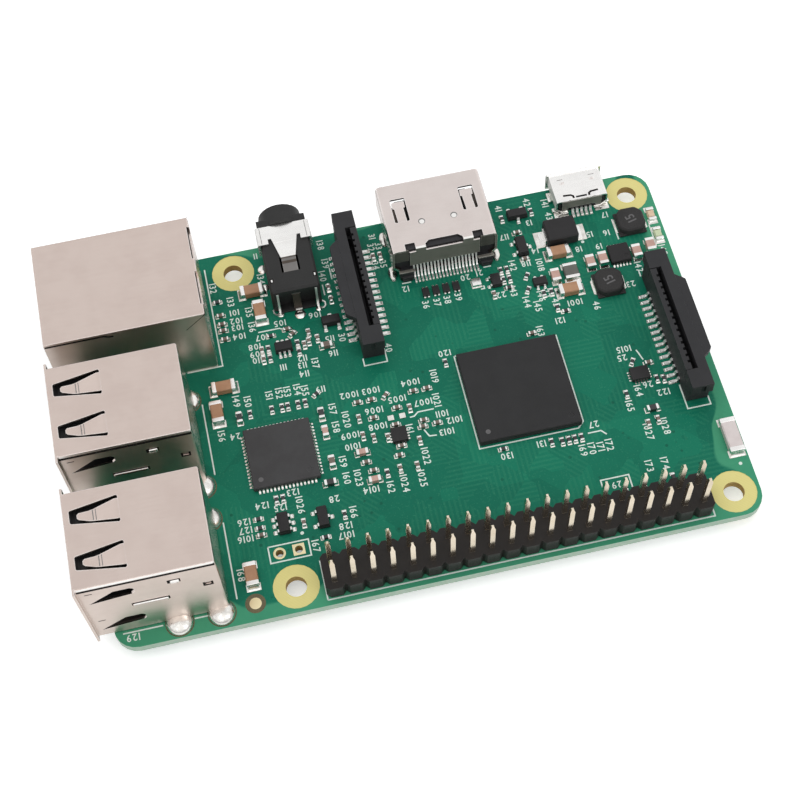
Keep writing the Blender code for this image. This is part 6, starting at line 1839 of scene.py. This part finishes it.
@dataclass
class Underside:
    """Card socket, small parts, bare pads and solder on the back of the board."""

    leg_x: Pair = (-34.2, -28.8)
    leg_y: tuple[float, ...] = (-25.4, -12.6, -7.4, 5.4)
    port_y: Pair = (-19.0, -1.0)
    pin_x: Pair = (-32.6, -30.4)
    pin_y: tuple[float, ...] = (-3.5, -1.0, 1.0, 3.5)
    jack_x: Pair = (-25.6, -27.6)
    jack_y: float = 13.3
    jack_pins: int = 8
    jack_pitch: float = 1.27
    slot_x: Pair = (3.2, 17.8)
    slot_y: Pair = (20.2, 26.0)
    tail_x: float = 28.0
    tails: int = 8
    tail_pitch: float = 1.1
    window_x: Pair = (-5.9, -4.7)
    anchor_x: Pair = (30.0, 40.4)
    anchor_y: Pair = (-7.3, 7.3)
    card_middle: Pair = (35.0, 0.0)
    card_tall: float = 1.5
    line: float = 0.19
    tall: float = 0.98
    first_number: int = 201
    number_before: float = 2.3
    number_beside: float = 2.1
    chips_x: float = 10.0
    ROWS = (
        (PartKind.CAPACITOR, 4.2, -8.0, 0.0, 1.6, 6, 0), (PartKind.CAPACITOR, 18.6, -8.0, 0.0, 1.6, 6, 0),
        (PartKind.CAPACITOR, 6.6, 3.1, 1.6, 0.0, 7, 90), (PartKind.RESISTOR, 6.6, -10.3, 1.6, 0.0, 7, 90),
        (PartKind.CAPACITOR, -20.6, -9.4, 0.0, 1.7, 5, 0), (PartKind.CAPACITOR, -14.4, -9.4, 0.0, 1.7, 5, 0),
        (PartKind.RESISTOR, -12.0, 2.4, 1.5, 0.0, 6, 90), (PartKind.MIDDLE, -8.6, -14.6, 2.8, 0.0, 4, 0),
        (PartKind.LARGE, 21.4, 16.8, 0.0, -2.4, 3, 0), (PartKind.MIDDLE_GREY, 25.6, 11.6, 0.0, 2.6, 3, 90),
        (PartKind.RESISTOR, -6.4, 11.6, 0.0, 1.5, 5, 0), (PartKind.CAPACITOR, 2.2, 12.2, 1.5, 0.0, 6, 90),
        (PartKind.RESISTOR, 22.4, -12.6, 1.5, 0.0, 4, 90), (PartKind.BEAD, 37.4, -12.4, 0.0, -2.8, 3, 90),
        (PartKind.RESISTOR, 38.4, 10.4, 1.4, 0.0, 3, 90), (PartKind.CAPACITOR, 29.6, 10.4, 1.6, 0.0, 4, 90),
        (PartKind.RESISTOR, -25.0, 8.2, 0.0, 1.6, 4, 0), (PartKind.CAPACITOR, -17.4, 12.6, 1.6, 0.0, 4, 90),
    )
    PADS = (
        (-24.0, -10.0), (-24.0, -7.4), (-24.0, -4.8), (-9.0, 7.0), (-6.4, 7.0), (-3.8, 7.0), (-1.2, 7.0),
        (20.6, -18.2), (23.2, -18.2), (25.8, -18.2), (0.2, -17.6), (2.8, -17.6), (5.4, -17.6), (25.0, 3.4),
        (25.0, 0.8), (25.0, -1.8), (25.0, -4.4), (-3.2, 22.6), (-0.6, 22.6), (22.6, 22.6), (22.6, 25.2),
        (-11.4, -18.4), (-8.8, -18.4), (-24.4, 18.4),
    )
    PACKAGES = ((21.6, 7.4, 0), (-17.4, 17.2, 90), (-12.4, 13.0, 0), (4.6, 16.8, 90))
    # slits of the cover: dark lines in the painted shadow finish, drawn flat where the openings are in shade
    SLITS = (
        (((-5.4, -5.2), (3.6, -5.2)), 0.22), (((-5.4, 5.2), (3.6, 5.2)), 0.22),
        (((-1.6, -2.6), (1.4, -2.6), (1.4, 2.6), (-1.6, 2.6)), 0.18),
    )
    TAIL = ((-0.3, 0.4), (0.2, 0.4), (0.4, 0.14), (1.0, 0.12))
    PAD = ((0.62, 0.0), (0.62, 0.02), (0.56, 0.035), (0.0, 0.035))
    LEG = ((1.55, 0.0), (1.58, 0.06), (1.2, 0.3), (0.92, 0.7), (0.8, 1.1), (0.0, 1.16))
    PIN = ((0.72, 0.0), (0.74, 0.05), (0.55, 0.2), (0.36, 0.6), (0.24, 1.0), (0.0, 1.05))
    LONG = ((0.6, 0.0), (0.62, 0.06), (0.46, 0.3), (0.3, 0.5), (0.0, 0.54))
    OUTLINE = ((5.1, 9.1), (17.7, 9.1), (17.7, -2.0), (5.1, -2.0), (5.1, 9.1))

    def build(self) -> None:
        """Dress the card socket, set the parts and solder what comes through the board."""
        dress_each(0.03, card_socket_cover=Coat.PALE, card_socket_frame=Coat.CORE)
        parts = Form()
        for kind, x, y, dx, dy, count, turn in self.ROWS:
            for index in range(count):
                parts.add(ChipParts.part(kind), under(x + index * dx, y + index * dy, turn))
        three = SmallPackages().package((1.4, 2.9, 1.0), (0.0,), (-0.95, 0.95))
        for place in self.PACKAGES:
            parts.add(three, under(*place))
        parts.piece("underside_parts", Slot.CHIP_RESIN)
        self.card_socket()
        self.solder()
        self.printing()

    def card_socket(self) -> None:
        """Give the card socket its slits, windows, tails and anchor tabs."""
        marks, tails = Form(), Form()
        face = spot(*self.card_middle, -self.card_tall) @ under(0.0, 0.0)
        tail = ribbon(self.TAIL, 0.13, 0.5, Coat.LEAD)
        tail.add(block((0.9, 0.6, 0.05), Coat.SOLDER, 0.02, 1), spot(0.7, 0))
        slits = list(self.SLITS)
        for y in row(self.tails, self.tail_pitch):
            slits.append((tuple((x, y) for x in self.window_x), 0.5))
            tails.add(tail, under(self.tail_x, y, 180))
        # slits and windows are drawn flat in the painted shadow finish
        for path, wide in slits:
            marks.add(tape(path, wide, Coat.GAP, LINE_FOOT, 0.008), face)
        for place in product(self.anchor_x, self.anchor_y):
            tails.add(block((1.5, 1.1, 0.3), Coat.SOLDER, 0.1, 3), under(*place))
        marks.piece("card_socket_shaded_slits", Slot.BLACK_PLASTIC)
        tails.piece("card_socket_tails", Slot.BRIGHT_TIN)

    def solder(self) -> None:
        """Solder legs and pins, and lay the bare test pads."""
        pins = [(x, y + along) for x, y, along in product(self.pin_x, self.port_y, self.pin_y)]
        pins += [(self.jack_x[index % 2], self.jack_y + index * self.jack_pitch) for index in range(self.jack_pins)]
        form = Form()
        for shape, places in (
            (turned(self.PAD, Coat.PAD, 22), self.PADS),
            (turned(self.LEG, Coat.SOLDER, 24), product(self.leg_x, self.leg_y)),
            (turned(self.PIN, Coat.SOLDER, 16), pins),
            (Form().add(turned(self.LONG, Coat.SOLDER), OVAL), product(self.slot_x, self.slot_y)),
        ):
            for place in places:
                form.add(shape, under(*place))
        form.piece("underside_solder", Slot.BRIGHT_TIN)

    def printing(self) -> None:
        """Print an outline round the memory chip and a number at each row of parts."""
        form = Form().add(tape(self.OUTLINE, self.line, Coat.INK), under(0.0, 0.0))
        for index, (_, x, y, dx, dy, count, _) in enumerate(self.ROWS, self.first_number):
            beside = x + math.copysign(self.number_beside, x - self.chips_x)
            place = under(x - self.number_before, y) if dx else under(beside, y + dy * (count - 1) / 2)
            form.add(number(str(index), self.tall), place)
        form.piece("underside_print")


@dataclass
class Print:
    """White lines and plain numbers on the mask."""

    line: float = 0.19
    tall: float = 0.98
    LINES = (
        ((-15.42, -27.25), (35.55, -27.25), (35.55, -21.8), (-15.42, -21.8), (-15.42, -27.25)),
        ((8.35, 3.8), (8.35, -10.85), (21.9, -10.85), (22.8, -10.0), (22.8, 3.8), (8.35, 3.8)),
        ((-22.9, 26.0), (-22.9, 9.75), (-27.8, 9.75)), ((-26.6, 4.4), (-26.6, -6.5)),
        ((-26.65, -13.6), (-26.65, -24.5)), ((-41.4, -25.85), (-36.3, -25.85)), ((-32.3, -25.85), (-30.6, -25.85)),
        ((-3.9, 6.4), (-3.9, 5.2), (-0.7, 5.2), (-0.7, 8.0)),
        ((36.9, -7.6), (36.9, -11.4), (40.1, -11.4), (40.1, -10.1)), ((36.9, 10.4), (36.9, 11.4)),
        ((-17.2, 13.9), (-14.2, 13.9), (-13.4, 13.4)), ((0.4, -4.05), (1.0, -4.0), (1.6, -3.5), (3.8, -3.5)),
        ((1.8, -6.3), (2.3, -7.4), (3.3, -7.5)), ((35.7, 17.2), (35.7, 20.8)), ((40.6, 14.8), (40.6, 18.6)),
        ((30.1, 9.0), (30.1, 11.8)), ((4.0, 17.1), (5.3, 17.1)), ((15.8, 17.1), (16.9, 17.1)),
        ((-21.6, -18.4), (-16.3, -18.4), (-16.3, -20.7), (-21.6, -20.7), (-21.6, -18.4)), ((-7.0, 19.6), (-7.0, 17.8)),
        ((-5.5, 22.2), (-5.5, 20.2)), ((32.8, -1.0), (33.0, -1.6), (33.3, -2.7)),
        ((22.9, -11.9), (24.7, -11.9), (25.3, -12.6)), ((14.6, 13.6), (15.1, 13.6), (15.1, 14.1)),
        ((22.6, -21.2), (22.6, -19.0), (26.4, -19.0), (26.4, -21.2)),
    )
    DOTS = ((-16.9, -17.4), (30.6, 18.0), (41.1, -20.8))
    ACROSS = {
        2: (
            (-15.4, 26.6), (4.3, 16.1), (24.0, 23.0), (23.6, 18.1), (31.9, 19.0), (34.3, 18.7), (34.9, 21.8),
            (29.7, 16.9), (32.6, 16.7), (12.9, 16.0), (15.0, 16.3), (17.1, 12.0), (35.2, 9.5), (-23.0, -1.5),
            (30.6, -1.8), (32.8, -6.6), (24.0, -10.8), (-11.9, -13.6), (24.5, -20.1),
        ),
        3: (
            (-19.9, 17.9), (-19.9, 16.5), (-19.9, 15.4), (-19.9, 13.9), (-14.0, 14.7), (-9.0, 14.9), (-16.9, 13.0),
            (-18.1, 11.7), (-18.1, 10.5), (-18.1, 9.5), (-14.8, 7.6), (-12.0, 8.4), (-12.2, 7.3), (-12.2, 5.9),
            (-7.7, 10.6), (-7.7, 8.2), (19.9, 21.4), (21.8, 16.3), (-10.5, 3.0), (7.2, 4.6), (24.0, 6.0),
            (34.5, -8.2), (-17.0, -11.4), (-21.3, -12.4), (-19.0, -13.2), (-24.0, -14.2), (-24.0, -15.4),
            (-11.2, -17.7), (-40.2, -26.6), (11.6, -12.7), (16.5, -12.0),
        ),
        4: (
            (26.8, 8.4), (-6.9, 1.2), (-3.9, 1.2), (1.6, 1.2), (-0.7, -0.9), (-4.1, -1.9), (2.6, -2.2), (-4.1, -4.4),
            (-8.0, -4.9), (-8.0, -6.6), (4.7, -4.5), (6.1, -5.8), (4.7, -7.3), (-6.9, -13.4), (31.2, -0.5),
            (-24.2, -16.6), (-11.4, -19.0),
        ),
    }
    UPRIGHT = {
        2: (
            (-6.0, 10.4), (1.5, 26.0), (1.0, 24.2), (2.1, 24.2), (1.0, 21.0), (2.1, 21.0), (6.5, 12.9), (8.1, 12.9),
            (9.6, 13.0), (11.2, 13.1), (-0.1, 7.3), (20.35, 26.5), (24.6, 26.6), (27.1, 23.5), (23.8, 10.8),
            (24.2, 9.0), (29.6, 7.2),
        ),
        3: (
            (-22.2, 22.6), (-20.15, 19.8), (-15.3, 22.6), (-17.9, 17.5), (-17.9, 15.0), (-10.4, 7.2), (-6.0, 26.3),
            (-5.9, 23.0), (-6.7, 21.0), (27.1, 25.8), (19.9, 16.4), (18.9, 12.2), (20.3, 10.0), (21.6, 9.0),
            (22.5, 10.5), (37.1, 12.0), (41.3, 14.0), (-22.0, 3.8), (-20.5, 3.4), (-17.5, 3.7), (-16.1, 3.7),
            (-15.0, 3.7), (-13.6, 3.7), (-12.6, 3.3), (-24.8, -1.0), (-9.5, -0.4), (-9.6, -3.2), (-9.7, -8.5),
            (-9.7, -11.0), (0.0, -5.7), (-4.3, -13.6), (20.9, 5.0), (31.3, -7.2), (29.5, -9.2), (-9.8, -16.0),
            (-15.5, -19.6), (-25.6, -21.4), (21.6, -14.2), (22.8, -14.2), (24.0, -14.2), (25.2, -14.2),
            (29.4, -18.4), (31.5, -18.5),
        ),
        4: (
            (23.7, 15.6), (5.0, 1.4), (-8.0, -2.4), (4.5, -2.3), (1.2, -10.2), (-8.2, -11.3), (-2.4, -13.5),
            (0.0, -13.3), (-16.4, -13.4), (30.8, -13.5), (33.2, -13.2),
        ),
    }

    def numbers(self) -> Form:
        """Count through the places beside the parts and print a plain number at each.

        Returns:
            The form of all numbers.
        """
        form = Form()
        for digits in (2, 3, 4):
            count = 10 ** (digits - 1)
            for table, turn in ((self.ACROSS, 180), (self.UPRIGHT, -90)):
                for x, y in table[digits]:
                    count += 1
                    form.add(number(str(count), self.tall), spot(x, y, 0, turn))
        return form

    def build(self) -> None:
        """Print the lines, dots and numbers."""
        self.numbers().piece("printed_numbers")
        form = Form()
        for path in self.LINES:
            form.add(tape(path, self.line, Coat.INK))
        dot = turned([(0.24, INK_FOOT), (0.24, INK_TOP), (0.0, INK_TOP)], Coat.INK, 16)
        for place in self.DOTS:
            form.add(dot, spot(*place))
        form.piece("printed_lines")


# ---- studio


@dataclass
class Studio:
    """Camera, lamps, pale floor and white surround."""

    lens: float = 69.534
    sensor: float = 36.0
    eye: Size = (-16.7, -101.2, 182.7)
    forward: Size = (0.0783, 0.4789, -0.8744)
    right: Size = (0.9760, -0.2158, -0.0307)
    fill: float = 0.62
    softbox: Size = (0.0, -0.6, 0.8)
    floor_half: float = 3.0
    floor_gap: float = 0.0002
    floor_glow: float = 0.45
    LAMPS = (
        ("overhead_lamp", (-0.12, 0.2, 0.9), 1.0, 3.6, False),
        ("side_lamp", (0.5, -0.5, 0.5), 0.3, 0.7, True),
    )

    def camera(self) -> None:
        """Stand the camera where the photograph was taken."""
        data = bpy.data.cameras.new("photo_camera")
        data.lens = self.lens
        data.sensor_width = self.sensor
        data.clip_start, data.clip_end = 0.01, 20.0
        holder = bpy.data.objects.new("photo_camera", data)
        ahead = Vector(self.forward).normalized()
        side = (Vector(self.right) - ahead * ahead.dot(Vector(self.right))).normalized()
        up = side.cross(ahead)
        turn = Matrix((side, up, -ahead)).transposed().to_4x4()
        holder.matrix_world = Matrix.Translation(Vector(self.eye) * MM + DATUM) @ turn
        bpy.context.scene.collection.objects.link(holder)
        bpy.context.scene.camera = holder

    def lamp(self, name: str, place: Size, size: float, power: float, mirrored: bool) -> None:
        """Hang a soft square lamp that looks at the board.

        Args:
            name: name of the lamp.
            place: where it hangs, in metres.
            size: side of its face in metres.
            power: power in watts.
            mirrored: whether shiny surfaces mirror it.
        """
        data = bpy.data.lights.new(name, "AREA")
        data.shape = "SQUARE"
        data.size = size
        data.energy = power
        holder = bpy.data.objects.new(name, data)
        holder.location = place
        holder.rotation_mode = "QUATERNION"
        holder.rotation_quaternion = (-Vector(place)).to_track_quat("-Z", "Y")
        holder.visible_glossy = mirrored
        bpy.context.scene.collection.objects.link(holder)

    def surround(self) -> None:
        """White where it is seen, a soft box overhead where it is mirrored, and a plain soft level where it lights."""
        world = bpy.data.worlds.new("white_surround")
        world.use_nodes = True
        net = Wiring(world.node_tree)
        way = net.place("TexCoord").outputs["Generated"]
        axes = net.place("SeparateXYZ", Vector=way).outputs
        box = net.span(net.dot(way, self.softbox), 0.78, 0.95, 0.92, 1.34)
        box = net.times(box, net.span(axes[2], 0.02, 0.42, 0.34, 1.0))
        box = net.times(box, net.span(net.calc("ABSOLUTE", axes[0]), 0.22, 0.6, 1.0, 1.12))
        path = net.place("LightPath").outputs
        lit = net.calc("MULTIPLY_ADD", path["Is Glossy Ray"], net.calc("SUBTRACT", box, self.fill), self.fill)
        seen = net.calc("MAXIMUM", path["Is Camera Ray"], path["Is Transmission Ray"])
        level = net.calc("MULTIPLY_ADD", seen, net.calc("SUBTRACT", 1.0, lit), lit)
        sky = net.place("Background", Color=(1.0, 1.0, 1.0, 1.0), Strength=level)
        out = net.place("OutputWorld")
        net.feed(out.inputs[0], sky.outputs[0])
        bpy.context.scene.world = world

    def floor(self) -> None:
        """Lay the pale floor, which keeps the board's shadow."""
        material = bpy.data.materials.new("finish_floor")
        material.use_nodes = True
        net = Wiring(material.node_tree)
        grain = net.effect(Effects.grain(), Scale=0.4, Detail=2.0)
        pale = net.blend(grain["Mask"], (0.9, 0.9, 0.9, 1.0), (0.92, 0.92, 0.92, 1.0))
        matt = net.place("BsdfDiffuse", Color=pale)
        path = net.place("LightPath").outputs
        seen = net.calc("MAXIMUM", path["Is Camera Ray"], net.times(path["Is Glossy Ray"], 0.35))
        seen = net.calc("MAXIMUM", seen, path["Is Transmission Ray"])
        glow = net.place("Emission", Color=(1.0, 1.0, 1.0, 1.0), Strength=net.times(seen, self.floor_glow))
        both = net.place("AddShader")
        net.feed(both.inputs[0], matt.outputs[0])
        net.feed(both.inputs[1], glow.outputs[0])
        out = net.place("OutputMaterial")
        net.feed(out.inputs["Surface"], both.outputs[0])
        mesh = bpy.data.meshes.new("floor")
        corners = ((-1, -1), (1, -1), (1, 1), (-1, 1))
        mesh.from_pydata([(x * self.floor_half, y * self.floor_half, 0) for x, y in corners], [], [(0, 1, 2, 3)])
        mesh.materials.append(material)
        plane = bpy.data.objects.new("floor", mesh)
        plane.location.z = CAD_BOX[0].z - self.floor_gap
        bpy.context.scene.collection.objects.link(plane)

    def build(self) -> None:
        """Set up the whole studio."""
        bpy.context.scene.view_settings.view_transform = "Standard"
        self.camera()
        self.surround()
        self.floor()
        for lamp in self.LAMPS:
            self.lamp(*lamp)


def main() -> None:
    """Build every sub-assembly in order."""
    logging.basicConfig(level=logging.INFO, format="%(message)s")
    builders = (
        Studio(), Board(), MainChips(), PowerParts(), HostPorts(), NetworkJack(), VideoPort(), PowerPort(), AudioJack(),
        FlatSocket("camera", -2.3, 16.6, 0.0), FlatSocket("display", 38.5, 0.0, 180.0), PinHeader(), ChipParts(),
        SmallPackages(), Underside(), Print(),
    )
    for builder in builders:
        LOG.info("building %s", type(builder).__name__)
        builder.build()


if __name__ == "__main__":
    main()
